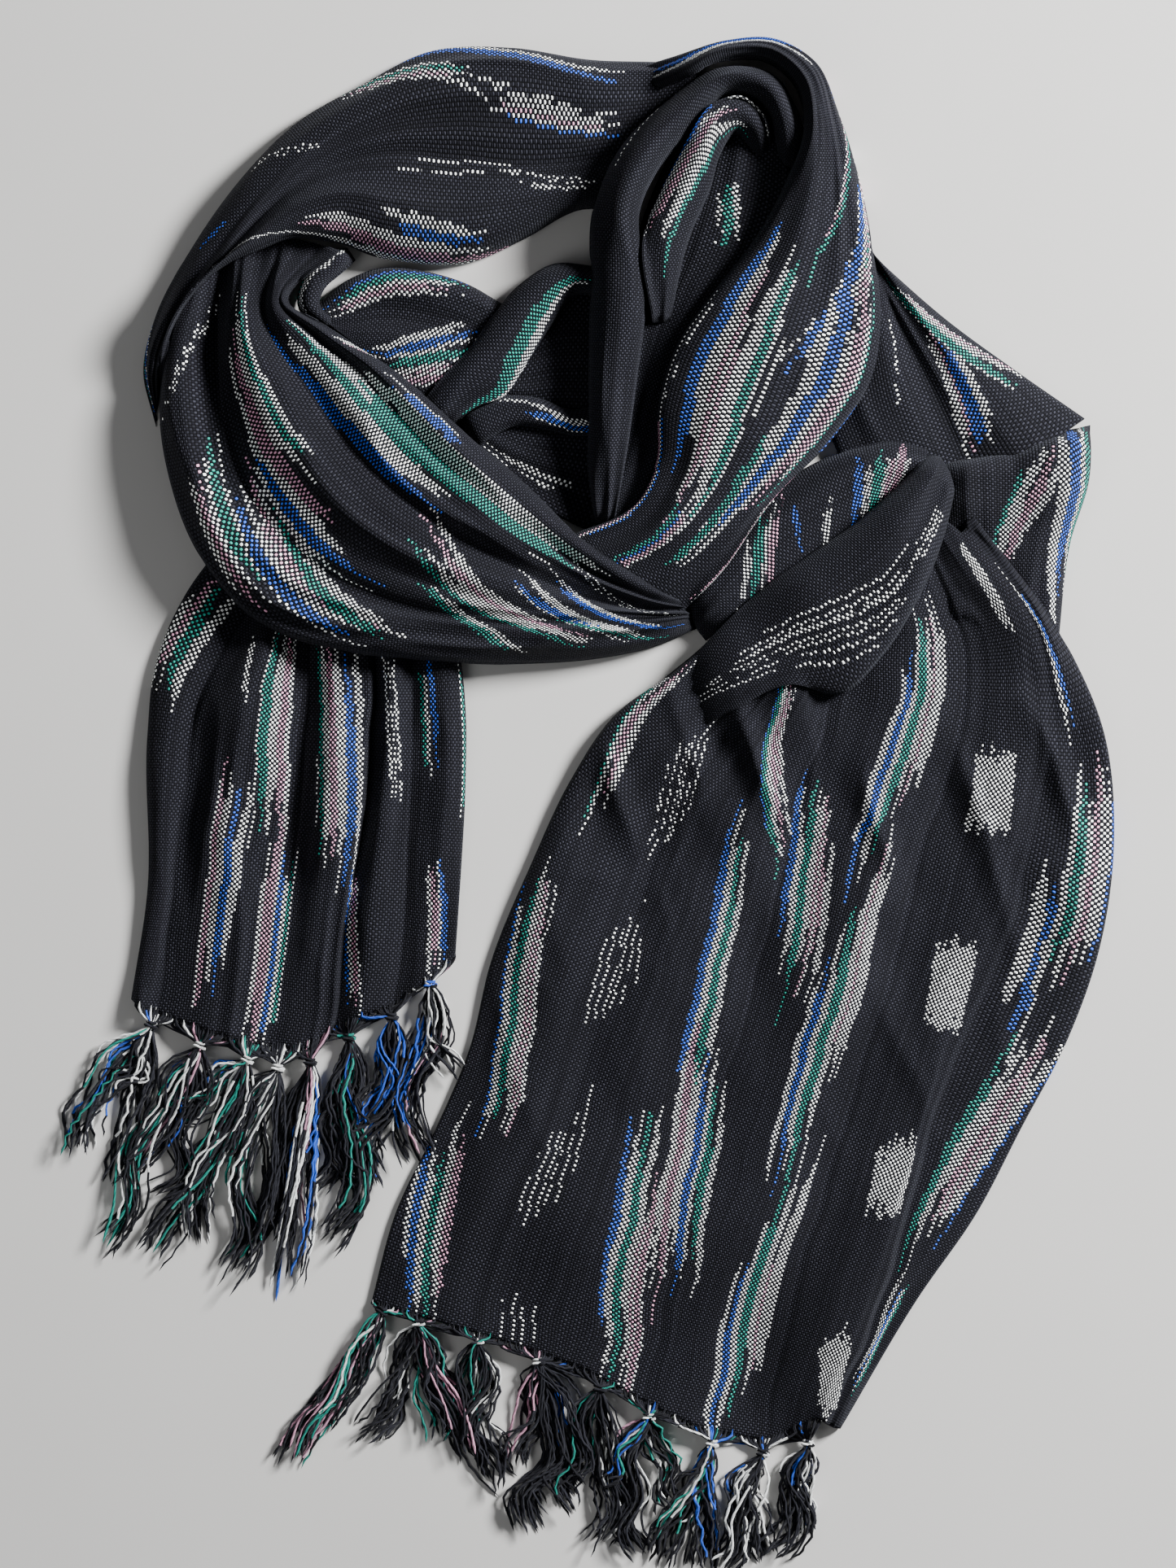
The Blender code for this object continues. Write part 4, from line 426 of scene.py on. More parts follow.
# The dyed stripes. Warps gives a stripe's threads from the low side of its stretch to the high one: B blue,
# G green, W white, P pink among white, D white in dashes, N left black, each with its number of threads.
# Start and end are plan places on its middle line, and slant is how far along the warp its last thread lags
# behind its first, in cm.
SPEARS = {
    # the broad flat end
    "right_tail": (
        Spear("G2 W3 P6 W3", (4.6, 6.8), (0.2, -0.6)),
        Spear("B2 W4 G5 W4 P6 W2", (-2.3, -3.4), (-4.5, -15.9)),
        Spear("W3 B4 W4 G5 W4 P5", (-7.2, -16.4), (-8.3, -25.4)),
        Spear(DASHES, (4.95, 2.9), (3.9, -1.7), -2.5),
        Spear(DASHES, (1.85, -6), (0.75, -10.6), -2.5),
        Spear(DASHES, (-1.3, -15.8), (-2.5, -20.2), -2.5),
        Spear("D1 N4 D2 N3 D1 N4 D1", (-3.4, -24.4), (-3.8, -27)),
        Spear("B2 G5 W5 P6 W3", (9.8, 6.6), (9.6, -3.4)),
        Spear("B4 W4 G5 W4 P6 W4", (11.2, 0.4), (9.8, -9), 3),
        Spear("B5 W5 G5 W4", (7.2, -1.8), (4.6, -15.4), 2),
        Spear("W4 P6 W4 B5 W3 G6 W4", (5.9, -12.4), (4, -23.6), 2),
        Spear("B5 W4 G5 W4 P6 W2", (2.9, -16.4), (0.9, -28.8), 5),
        Spear("W4 B5 W4 G6 W4 P6 W3", (16, 8.6), (13.8, -2.4), -4),
        Spear("W4 B5 W4 G6 W4 P6 W3", (13, -5), (9.9, -17.6), -6),
        Spear("W4 B5 W4 G6 W4 P6 W3", (9.4, -19.4), (6.6, -30.8), -6),
        Spear("W25", (19.7, 2.4), (19.4, -1.8)),
        Spear("W25", (17.8, -7), (17.2, -11.3)),
        Spear("W24", (15, -16.4), (14.5, -20.6)),
        Spear("W23", (12, -26.2), (11.4, -30.4)),
        Spear("W10", (18, 12.4), (20.4, 8)),
        Spear("W6 B4 W2", (22.4, -3.4), (20.2, -11.6), 2),
        Spear("W3 G4 W3 P5 W4 B2", (24.6, 1.4), (22.9, -8.6)),
        Spear("G4 W5 P7 W4 B2", (22.4, -11.6), (16.2, -21.6)),
        Spear("W6 B4 W3 G3", (15.4, -23.6), (12.7, -29.2)),
        Spear("W4 B4", (20.4, 10.6), (23.6, 3)),
    ),
    # the lip over the broad end
    "hood": (
        Spear("D1 N2 D1 N1 D2 N2 D1 N1 D1 N3 D1 N2 D1", (15, 9.8), (5.6, 5.6), 3),
        Spear("D1 N1 D2 N1 D1", (17, 14.2), (15.8, 11.8)),
    ),
    # the narrow flat end
    "left_tail": (
        Spear("W4 P3 W2 G5 W5", (-17.9, 10.6), (-21.2, 4.8)),
        Spear("D2", (-18.7, 4.6), (-19.2, 2)),
        Spear("W4", (-16.5, 7.8), (-16.9, 5)),
        Spear("W2 G6 W4 P5 W3", (-14.7, 8.8), (-15.9, -2)),
        Spear("P4 W4 B4 W5", (-17.2, 1.6), (-18.8, -10)),
        Spear("W3 P5 W2 B4 W3 G3 W2", (-15, -2.2), (-16.3, -11.4)),
        Spear("G3 W4 P5 W4 B5 W4", (-12.7, 8.4), (-12.5, -4), 1.5),
        Spear("W2", (-13.4, 3), (-13.5, -1.4)),
        Spear("B3 W3 P3 W2", (-11.6, -3.8), (-11.7, -10.6)),
        Spear("D3 N2 D2 N1 D3", (-10.1, 7.6), (-9.6, 0)),
        Spear("G3 W3 N2 B4", (-8.2, 7), (-7.8, 1)),
        Spear("W2 G3", (-6.6, 7.4), (-6.4, -1.2)),
        Spear("W3 P4 W2 B4", (-7.7, -2.6), (-7.5, -8.6)),
    ),
    # the band that crosses the front of the loop
    "lower_band": (
        Spear("D2 N2 D3 N1 D3 N1 D2", (-18.3, 24.4), (-20.7, 18.8)),
        Spear("D1", (-17.8, 19.4), (-17.1, 16.8)),
        Spear("W5 P7 W3 G7 W4", (-18.9, 16.6), (-16.2, 9.8)),
        Spear("W2 B7 W5 P7 W5", (-17.1, 15.8), (-10.9, 8)),
        Spear("G7 W7", (-15.4, 14.8), (-9.4, 7.6)),
        Spear("W4 B7 W7", (-16.3, 18.4), (-11.4, 10.9)),
        Spear("W3 P7 W5 G4 W4", (-17.4, 23.4), (-12.8, 14.2), -2),
        Spear("B6 W9 G5 W6", (-14.8, 22.8), (-7.2, 14.9)),
        Spear("D1", (-8.6, 16), (-6, 13.9)),
        Spear("D1", (-12, 21.2), (-8.6, 18.3)),
        Spear("W2 B8 W2", (-10, 20.2), (-6.6, 17.4)),
        Spear("G8 W8", (-9.8, 19), (0.2, 10.8)),
        Spear("G5 W5", (-8, 10.5), (-3.4, 7)),
        Spear("G3 W6 P7 W3", (-8.2, 13.4), (-0.6, 7.8)),
        Spear("W2 B6 W6", (-3.6, 10.9), (2, 7.8)),
        Spear("B5 W5", (-2.3, 11.3), (3.6, 8.3)),
        Spear("G3 W4", (-1.2, 8.6), (3.8, 7.9)),
        Spear("D1 N3 D1", (-0.6, 11.2), (3.9, 8.9)),
        Spear("P4 W3", (-12.4, 22.3), (-10.4, 21.4)),
    ),
    # the arc at the back of the loop
    "top_arc": (
        Spear("W6 B7", (-9.6, 36.1), (1.2, 35.2), -1),
        Spear("W3 G4 W3 P4 W2", (-12.4, 34.3), (-5, 34.9)),
        Spear("D1", (-5.9, 35.2), (1.2, 33.4)),
        Spear("W3 P4 W1 B2", (-4.7, 33.9), (1.2, 32.7)),
        Spear("D1 N2 D1", (-16.2, 31), (-13.2, 31.8)),
        Spear("D1 N4 D1", (-9.2, 31), (-3.4, 30.7)),
        Spear("D2 N2 D2 N1 D4", (-3.6, 30.2), (0, 30)),
        Spear("W6 B6", (-10.4, 28.5), (-4.6, 27.4)),
        Spear("W6 P9 W6", (-14.2, 27.8), (-4.6, 26.8)),
        Spear("W3", (-18.8, 25.6), (-13.4, 27.3)),
        Spear("B3", (-19.4, 26.6), (-17.6, 28.2)),
        Spear("G2 N1 B4 W2", (-21.4, 23.6), (-21.3, 18.6)),
    ),
    # inside the loop
    "inner_loop": (
        Spear("G4 W7", (-13.4, 23.2), (-12, 26.8)),
    ),
    "inner_leaf": (
        Spear("B3 G5 W3 P5 W2", (-12.8, 23.8), (-6.4, 25)),
        Spear("W6 B5 W3 G7 W4 P6 W2", (-10.2, 21.2), (-5.8, 22.2)),
    ),
    "inner_roll": (
        Spear("G7 W6", (-5.6, 19.2), (-0.2, 25.2)),
    ),
    "inner_hem": (
        Spear("W6 B6 W2", (-4.4, 19), (1.6, 19.6)),
    ),
    "inner_bed": (
        Spear("D4 N1 D3", (-5.9, 17.9), (-1.2, 15.2)),
    ),
    "inner_slope": (
        Spear("D2 G4 W2", (6.6, 30.4), (6.5, 26.8)),
    ),
    # the hump
    "hump_roll": (
        Spear("D1", (5.8, 35.6), (1, 30)),
    ),
    "hump_patch": (
        Spear("B7 W6 P7 W6 G3", (6.6, 33.4), (2.9, 27.6)),
        Spear("W4", (6.6, 34), (8.6, 32.2)),
    ),
    # the arc down the right of the loop
    "right_arc": (
        Spear("N2 W20 B18", (10.7, 35.8), (2.6, 35.2)),
        Spear("D2 N1 D2", (6.2, 24.5), (3.6, 19.8)),
        Spear("P2 W2 B2", (3.3, 18.8), (-0.6, 12.7)),
        Spear("B8 W5 P9 W6 G4 W2", (9.6, 27.4), (4.4, 14.4), 3),
        Spear("G4 B3 P5 W3", (4.6, 14.2), (1, 11.3)),
        Spear("D1 N3 D1", (9.5, 23.4), (8, 19.4)),
        Spear("D1", (11.8, 22.2), (10, 19.9)),
        Spear("W2 P3 G5", (11.9, 34.4), (10.9, 26.4), 3),
        Spear("D2 B6 W4 P6 W2", (12.9, 31.8), (9.8, 20.8), -3),
        Spear("G3", (13.5, 27.4), (12.8, 24.4)),
        Spear("W6 B7 W5 P8 W5 G2", (12.9, 24.4), (6, 12.8), -3),
        Spear("G7 W3", (8.6, 18.2), (3.6, 11.4)),
        Spear("P5 W4", (9.6, 15), (4.6, 9.4)),
        Spear("B5", (13.6, 18.4), (10.8, 16.2)),
    ),
    # behind the loop
    "far_band": (
        Spear("W4 P2 B5 W4", (16.8, 22.6), (19, 17)),
        Spear("W2 G5 W4 P4", (14.6, 25.2), (21.2, 20.4)),
        Spear("D1", (14.4, 24), (14.9, 18.8)),
    ),
    "shoulder": (
        Spear("W6 B6 W4 G5", (23.2, 19), (22.9, 8.8)),
        Spear("G3 W6 P5 W5", (22.3, 16.6), (19.9, 11.2)),
    ),
    "neck": (
        Spear("W6 G7 W4 P5", (8.5, 14), (7.9, 9.6)),
        Spear("B4", (9.9, 14.4), (10.1, 12.2)),
        Spear("W5", (11.6, 14.8), (11.5, 11.4)),
        Spear("B6 W5 G6 W3 P8 W3", (14.2, 16.8), (14, 13.4)),
    ),
}

ACROSS_WARP = ("neck",)       # stretches whose warp runs from edge to edge

# Every knot of the two fringes: its place, the colour of the yarn that ties it, how much its yarns curl, and
# for each group of its yarns the place that they run to, the dyes they are in and how many there are.
FRINGES = {
    "right_tail": (
        Bunch((-10.3, -25.2), "NW", 0.06, (
            ((-14.8, -32.2), "WGPNN", 25), ((-13.2, -30.4), "NNNG", 20))),
        Bunch((-8.5, -25.8), "WN", 0.07, (
            ((-11.0, -31.2), "NNNW", 22), ((-7.6, -31.2), "NNNG", 18), ((-6.1, -32.2), "NNNP", 22))),
        Bunch((-5.6, -26.7), "NW", 0.07, (
            ((-4.6, -33.4), "NNNW", 22), ((-6.6, -31.4), "NGN", 18))),
        Bunch((-2.6, -27.7), "WN", 0.07, (
            ((-3.0, -35.6), "NNNN", 25), ((-0.6, -33.8), "NNB", 18), ((-3.8, -32.4), "NNNP", 15))),
        Bunch((0.4, -29.0), "N", 0.07, (
            ((0.4, -36.3), "NNNNW", 25), ((-1.4, -34.6), "NNNG", 20))),
        Bunch((2.8, -30.4), "W", 0.07, (
            ((0.8, -33.6), "WGBPN", 20), ((2.2, -36.9), "NNNW", 22), ((3.8, -34.6), "WNG", 15))),
        Bunch((5.9, -31.7), "W", 0.07, (
            ((3.3, -37.4), "NNGW", 22), ((5.4, -37.8), "NNBN", 20), ((4.6, -35.4), "NNW", 15))),
        Bunch((8.4, -32.2), "WN", 0.07, (
            ((6.6, -37.6), "WNNW", 22), ((8.2, -37.2), "BWN", 20))),
        Bunch((10.6, -31.7), "W", 0.07, (
            ((10.2, -36.0), "NWB", 18), ((8.9, -37.0), "NNNW", 20))),
    ),
    "left_tail": (
        Bunch((-21.6, -11.2), "N", 0.07, (
            ((-25.2, -17.2), "NWGB", 20), ((-23.6, -14.6), "NNW", 15), ((-23.4, -18.6), "NNNW", 18))),
        Bunch((-19.2, -12.2), "NW", 0.07, (
            ((-23.9, -21.6), "PWGN", 22), ((-22.6, -18.0), "NNB", 15), ((-21.2, -19.6), "NNN", 15))),
        Bunch((-16.9, -12.9), "W", 0.07, (
            ((-21.6, -22.0), "GNNW", 22), ((-19.4, -21.4), "NNNW", 22), ((-20.6, -15.4), "WBGN", 15))),
        Bunch((-15.4, -13.3), "W", 0.03, (
            ((-17.5, -23.0), "WWGN", 25), ((-18.4, -17.4), "NWN", 15), ((-15.8, -20.4), "NNW", 16))),
        Bunch((-13.8, -13.0), "NW", 0.03, (
            ((-14.8, -23.3), "WBPN", 22), ((-16.2, -21.8), "NNN", 20))),
        Bunch((-11.9, -11.8), "NG", 0.07, (
            ((-12.7, -21.4), "NNNG", 22), ((-11.2, -18.6), "NBN", 20), ((-13.8, -19.0), "NNN", 15))),
        Bunch((-9.8, -10.8), "N", 0.07, (
            ((-10.9, -18.4), "NNB", 20), ((-10.7, -16.2), "BBN", 12))),
        Bunch((-7.9, -9.2), "WB", 0.07, (
            ((-8.4, -17.4), "PWWN", 20), ((-6.9, -13.6), "WWN", 10), ((-9.4, -15.6), "BNN", 15))),
    ),
}

# Colours as light, red green blue from 0 to 1.
DYES = {
    "ground": (0.0165, 0.017, 0.023),
    "B": (0.028, 0.105, 0.58),
    "G": (0.014, 0.27, 0.215),
    "W": (0.95, 0.97, 0.96),
    "pink": (0.64, 0.33, 0.46),
}
WEFT = (0.0045, 0.0045, 0.007)


def light_and_camera():
    """A camera straight above the shawl, a soft lamp at the upper right, a fill and a pale floor."""
    scene = bpy.context.scene
    lens = bpy.data.cameras.new("camera")
    lens.sensor_width = SENSOR_WIDE
    lens.lens = CAMERA_HEIGHT * SENSOR_WIDE / FRAME_HIGH
    lens.clip_end = 10.0
    camera = bpy.data.objects.new("camera", lens)
    camera.location = (FRAME_MIDDLE[0] * CM, (FRAME_MIDDLE[1] + PLAN_SHIFT[1]) * CM, CAMERA_HEIGHT)
    scene.collection.objects.link(camera)
    scene.camera = camera
    for name, place, size, power in LAMPS:
        lamp = bpy.data.lights.new(name, "AREA")
        lamp.shape = "DISK"
        lamp.size = size
        lamp.energy = power
        thing = bpy.data.objects.new(name, lamp)
        thing.location = place
        thing.rotation_euler = (-Vector(place)).to_track_quat("-Z", "Y").to_euler()
        scene.collection.objects.link(thing)
    world = bpy.data.worlds.new("studio")
    world.use_nodes = True
    sky = world.node_tree.nodes["Background"]
    sky.inputs["Color"].default_value = (0.94, 0.96, 1.0, 1.0)
    sky.inputs["Strength"].default_value = SKY_LIGHT
    scene.world = world
    floor_mesh = bpy.data.meshes.new("floor")
    corners = [(x * FLOOR_HALF, y * FLOOR_HALF, 0.0) for x, y in ((-1, -1), (1, -1), (1, 1), (-1, 1))]
    floor_mesh.from_pydata(corners, [], [(0, 1, 2, 3)])
    floor = bpy.data.objects.new("floor", floor_mesh)
    paint = Paint("pale_floor", {"Roughness": 0.8})
    paint.feed("Base Color", paint.mix(paint.noise(6.0, 4.0), (0.70, 0.69, 0.67), (0.76, 0.75, 0.73)))
    floor_mesh.materials.append(paint.material)
    scene.collection.objects.link(floor)


class Wire:
    """One output in a material's nodes. Arithmetic on it adds Math nodes."""

    def __init__(self, tree, socket):
        self.tree = tree
        self.socket = socket

    def math(self, operation, *others, clamp=False):
        """A Math node on this value and the others."""
        node = self.tree.nodes.new("ShaderNodeMath")
        node.operation = operation
        node.use_clamp = clamp
        for place, value in enumerate((self, *others)):
            connect(self.tree, node.inputs[place], value)
        return Wire(self.tree, node.outputs[0])

    def __add__(self, other):
        return self.math("ADD", other)

    def __sub__(self, other):
        return self.math("SUBTRACT", other)

    def __mul__(self, other):
        return self.math("MULTIPLY", other)

    def __abs__(self):
        return self.math("ABSOLUTE")

    def held(self):
        """The value kept between 0 and 1."""
        return self.math("ADD", 0.0, clamp=True)


def connect(tree, socket, value):
    """Gives a socket a link or a plain value."""
    if isinstance(value, Wire):
        tree.links.new(value.socket, socket)
    elif isinstance(value, tuple) and len(value) == 3 and socket.type == "RGBA":
        socket.default_value = (*value, 1.0)
    else:
        socket.default_value = value


class Paint:
    """One material on the Principled shader, with a method for any other node."""

    def __init__(self, name, constants):
        self.material = bpy.data.materials.new(name)
        self.material.use_nodes = True
        self.tree = self.material.node_tree
        self.shader = self.tree.nodes["Principled BSDF"]
        for socket, value in constants.items():
            connect(self.tree, self.shader.inputs[socket], value)

    def add(self, kind, settings, inputs, out=0):
        """A node of this kind, its settings made first, then the values or links of its sockets."""
        node = self.tree.nodes.new(kind)
        for name, value in settings.items():
            setattr(node, name, value)
        for name, value in inputs.items():
            connect(self.tree, node.inputs[name], value)
        return Wire(self.tree, node.outputs[out])

    def mix(self, factor, low, high):
        """A colour between two by a factor."""
        return self.add("ShaderNodeMix", {"data_type": "RGBA"}, {0: factor, 6: low, 7: high}, 2)

    def noise(self, scale, detail):
        """Noise over the object's own space."""
        place = self.add("ShaderNodeTexCoord", {}, {}, "Object")
        return self.add("ShaderNodeTexNoise", {}, {"Vector": place, "Scale": scale, "Detail": detail})

    def weave_map(self, name):
        """The two directions of a UV map: across the threads and along them."""
        split = self.add("ShaderNodeSeparateXYZ", {}, {0: self.add("ShaderNodeUVMap", {"uv_map": name}, {})})
        return split, Wire(self.tree, split.socket.node.outputs[1])

    def dye(self):
        """The colour of the thread or yarn, from its mesh."""
        return self.add("ShaderNodeVertexColor", {"layer_name": "dye"}, {})

    def finish(self, colour, height, strength, distance):
        """Takes the colour, and a bump from the height, and gives the material."""
        bump = {"Height": height, "Strength": strength, "Distance": distance}
        self.feed("Base Color", colour)
        self.feed("Normal", self.add("ShaderNodeBump", {}, bump))
        return self.material

    def tint(self, colour, amount):
        """A colour made darker or lighter by an amount, 1 leaving it as it is."""
        return self.add("ShaderNodeVectorMath", {"operation": "SCALE"}, {0: colour, "Scale": amount})

    def feed(self, socket, value):
        """Links a value to one of the shader's sockets."""
        connect(self.tree, self.shader.inputs[socket], value)


def woven_cotton(name):
    """Plain weave: the product of a sine for each thread and one for each pick is above zero where the warp
    lies on top and below it where the weft does, and its size is how high the upper thread stands. The colour
    is scaled by that size: painted shade in the gaps between the threads and a painted highlight on their tops,
    with the yarn's own uneven tone from noise."""
    paint = Paint(name, {"Roughness": 0.9, "Sheen Weight": 0.06, "Sheen Roughness": 0.4,
                         "Sheen Tint": (0.75, 0.8, 0.95), "Specular IOR Level": 0.15})
    thread, pick = paint.weave_map("threads")
    drift, slub = paint.noise(260.0, 2.0), paint.noise(620.0, 1.0)
    fibre, cloud = paint.noise(1900.0, 3.0), paint.noise(14.0, 2.0)
    wander = (drift - 0.5) * 0.3
    crossing = ((thread + wander) * math.pi).math("SINE") * ((pick + wander) * math.pi).math("SINE")
    rise = abs(crossing)
    warp_shows = (crossing * 3.4 + (drift - 0.5) * 1.2 + (slub - 0.5) * 2.2 - 0.22).held()
    # Painted shade in the gaps between the threads and a painted highlight on their tops, from rise, with the
    # yarn's own uneven tone from the fibre, slub and cloud noises.
    painted_light_and_tone = (rise * 1.7 + fibre * 0.6 + slub * 0.8 - 0.8).held() * 1.7 + cloud * 0.5
    colour = paint.tint(paint.mix(warp_shows, WEFT, paint.dye()), painted_light_and_tone)
    return paint.finish(colour, rise * 0.8 + fibre * 0.35, 0.8, 0.0005)


def plied_yarn(name):
    """Two-ply cotton: a spiral of its own UV map gives the plies' height, and the colour is scaled by it,
    painted shade in the groove between the plies and a painted highlight on their crowns.
    """
    paint = Paint(name, {"Roughness": 0.88, "Sheen Weight": 0.06, "Sheen Roughness": 0.5,
                         "Specular IOR Level": 0.15})
    round_yarn, along = paint.weave_map("twist")
    spiral = abs(((round_yarn + along) * math.pi).math("SINE"))
    fibre = paint.noise(1500.0, 3.0)
    # Painted shade in the grooves between the plies and a painted highlight on their crowns, from the spiral,
    # with the yarn's own uneven tone from the fibre noise.
    colour = paint.tint(paint.dye(), spiral * 0.6 + fibre * 0.6 + 0.25)
    return paint.finish(colour, spiral + fibre * 0.4, 0.6, 0.0003)


def run_lengths(points, axis=0):
    """How far along an axis of the grid each point lies from the first, in cm."""
    steps = np.linalg.norm(np.diff(points, axis=axis), axis=-1)
    return np.concatenate([np.zeros_like(steps.take([0], axis)), np.cumsum(steps, axis)], axis)


def smooth_path(points, places):
    """A curve through the points, read at the given fractions of its length, and the length itself.

    Between two points it is a cubic whose end slopes are the average of its neighbours' chords.
    """
    points = np.array(points, dtype=float)
    chord = np.linalg.norm(np.diff(points, axis=0), axis=1)
    knot = np.concatenate(([0.0], np.cumsum(chord)))
    slope = np.gradient(points, knot, axis=0)
    fine = np.linspace(0.0, knot[-1], 40 * len(points))
    i = np.clip(np.searchsorted(knot, fine, side="right") - 1, 0, len(points) - 2)
    h = chord[i][:, None]
    t = ((fine - knot[i]) / chord[i])[:, None]
    curve = ((2 * t**3 - 3 * t**2 + 1) * points[i] + (t**3 - 2 * t**2 + t) * h * slope[i]
             + (3 * t**2 - 2 * t**3) * points[i + 1] + (t**3 - t**2) * h * slope[i + 1])
    length = run_lengths(curve)
    read = np.stack([np.interp(places * length[-1], length, curve[:, k]) for k in (0, 1)], axis=1)
    return read, length[-1]


def spread(values, places):
    """A few heights spread evenly along the cloth and eased between, read at the given fractions."""
    place = places * (len(values) - 1.0)
    i = np.minimum(place.astype(int), len(values) - 2)
    t = place - i
    t = t * t * (3.0 - 2.0 * t)
    values = np.array(values, dtype=float)
    return values[i] * (1.0 - t) + values[i + 1] * t


def profile(kind_a, kind_b, s):
    """How far the height has gone from fold a to fold b at the share s of the way, from 0 to 1.

    Soft folds follow a half cosine. Towards an edge or into a valley the fall is part of a round roll,
    a quarter circle that starts level at the crest.
    """
    soft = 0.5 - 0.5 * np.cos(math.pi * s)
    if kind_a == SLOPE or kind_b == SLOPE:
        soft = s * (1.5 - 0.5 * s * s) if kind_b == SLOPE else s**1.6
    falling = 1.0 - np.sqrt(np.clip(1.0 - s * s, 0.0, 1.0))
    rising = np.sqrt(np.clip(1.0 - (1.0 - s) ** 2, 0.0, 1.0))
    at_a, at_b = ROUND_SHARE.get(kind_a, 0.0), ROUND_SHARE.get(kind_b, 0.0)
    return (1.0 - at_a - at_b) * soft + at_b * falling + at_a * rising


def between(grid, i, j, s, t):
    """A grid's value at the shares s and t of the way from the cell i, j to the next ones."""
    low = grid[i, j] * (1.0 - s) + grid[i + 1, j] * s
    high = grid[i, j + 1] * (1.0 - s) + grid[i + 1, j + 1] * s
    return low * (1.0 - t) + high * t


def value_noise(u, v, across, along, seed):
    """Smooth random waves from -1 to 1: random heights on a lattice with cells of the given sizes in cm,
    blended by a smooth step between its four corners."""
    rng = np.random.default_rng(seed)
    x, y = u / across + NOISE_MARGIN, v / along + NOISE_MARGIN
    lattice = rng.uniform(-1.0, 1.0, (int(x.max()) + 3, int(y.max()) + 3))
    i, j = x.astype(int), y.astype(int)
    s, t = x - i, y - j
    return between(lattice, i, j, s * s * (3.0 - 2.0 * s), t * t * (3.0 - 2.0 * t))


def softened(field, reach):
    """A field averaged over a box of this many cells each way, twice."""
    for _ in range(2):
        for axis in (0, 1):
            n = reach[axis]
            padded = np.concatenate([np.repeat(field.take([0], axis), n, axis), field,
                                     np.repeat(field.take([-1], axis), n, axis)], axis)
            total = np.cumsum(padded, axis)
            total = np.concatenate([np.zeros_like(total.take([0], axis)), total], axis)
            size, box = field.shape[axis], 2 * n + 1
            field = (total.take(range(box, box + size), axis) - total.take(range(size), axis)) / box
    return field


class Heap:
    """How high the cloth under a stretch reaches, on a map of small squares seen from above."""

    def __init__(self, sheets):
        high = np.zeros(MAP_CELLS)
        for points in sheets:
            at = ((points[..., :2] - MAP_LOW) / MAP_CELL).astype(int)
            np.maximum.at(high, (at[..., 0], at[..., 1]), points[..., 2])
        around = np.pad(high, 1)
        near = [around[a:a + MAP_CELLS[0], b:b + MAP_CELLS[1]] for a in (0, 1, 2) for b in (0, 1, 2)]
        self.high = softened(np.maximum.reduce(near), (1, 1))

    def below(self, points):
        """The height of what lies under each point, between the four nearest squares."""
        at = (points[..., :2] - MAP_LOW) / MAP_CELL - 0.5
        i, j = at[..., 0].astype(int), at[..., 1].astype(int)
        return between(self.high, i, j, at[..., 0] - i, at[..., 1] - j)


def thread_places(folds, lines, lifts):
    """For every edge between two threads: its distance from the first fold in cm, the pair of folds that it
    lies between and its share of the way.

    Threads are evenly spaced on the curved surface, so the share is found from the length of the curve.
    """
    fine = np.linspace(0.0, 1.0, 65)
    lengths = []
    for k, (a, b) in enumerate(zip(folds[:-1], folds[1:])):
        width = np.linalg.norm(lines[k + 1] - lines[k], axis=1).mean()
        drop = np.abs(lifts[k + 1] - lifts[k]).mean()
        steps = np.hypot(np.diff(fine) * width, np.diff(profile(a.kind, b.kind, fine)) * drop)
        lengths.append(np.concatenate(([0.0], np.cumsum(steps))))
    starts = np.concatenate(([0.0], np.cumsum([length[-1] for length in lengths])))
    edges = np.linspace(0.0, starts[-1], int(starts[-1] / THREAD) + 1)
    pair = np.clip(np.searchsorted(starts, edges, side="right") - 1, 0, len(lengths) - 1)
    share = np.array([np.interp(u - starts[k], lengths[k], fine) for u, k in zip(edges, pair)])
    return edges, pair, share


def warp_grid(stretch):
    """The stretch's upper face as a grid in cm, a row for each step along the warp and a column for each edge
    between two threads: plan places run straight from fold to fold, heights follow the profile."""
    folds = stretch.folds
    longest = max(smooth_path(f.path, np.array([0.0]))[1] for f in folds)
    step = THREAD if stretch.name in ACROSS_WARP else ROW_STEP
    rows = max(6, int(round(longest / step)) + 1)
    places = np.linspace(0.0, 1.0, rows)
    lines = [smooth_path(f.path, places)[0] for f in folds]
    lifts = [spread(f.lift, places) for f in folds]
    edges, pair, share = thread_places(folds, lines, lifts)
    lines, lifts = np.array(lines), np.array(lifts)
    points = np.zeros((rows, len(edges), 3))
    for k, (a, b) in enumerate(zip(folds[:-1], folds[1:])):
        here = pair == k
        s = share[here]
        points[:, here, :2] = lines[k][:, None] * (1 - s[:, None]) + lines[k + 1][:, None] * s[:, None]
        points[:, here, 2] = lifts[k][:, None] + (lifts[k + 1] - lifts[k])[:, None] * profile(a.kind, b.kind, s)
    return points, edges


def warp_lengths(points):
    """How far each point lies along its own thread from the stretch's middle row, in cm."""
    length = run_lengths(points)
    return length - length[len(length) // 2]


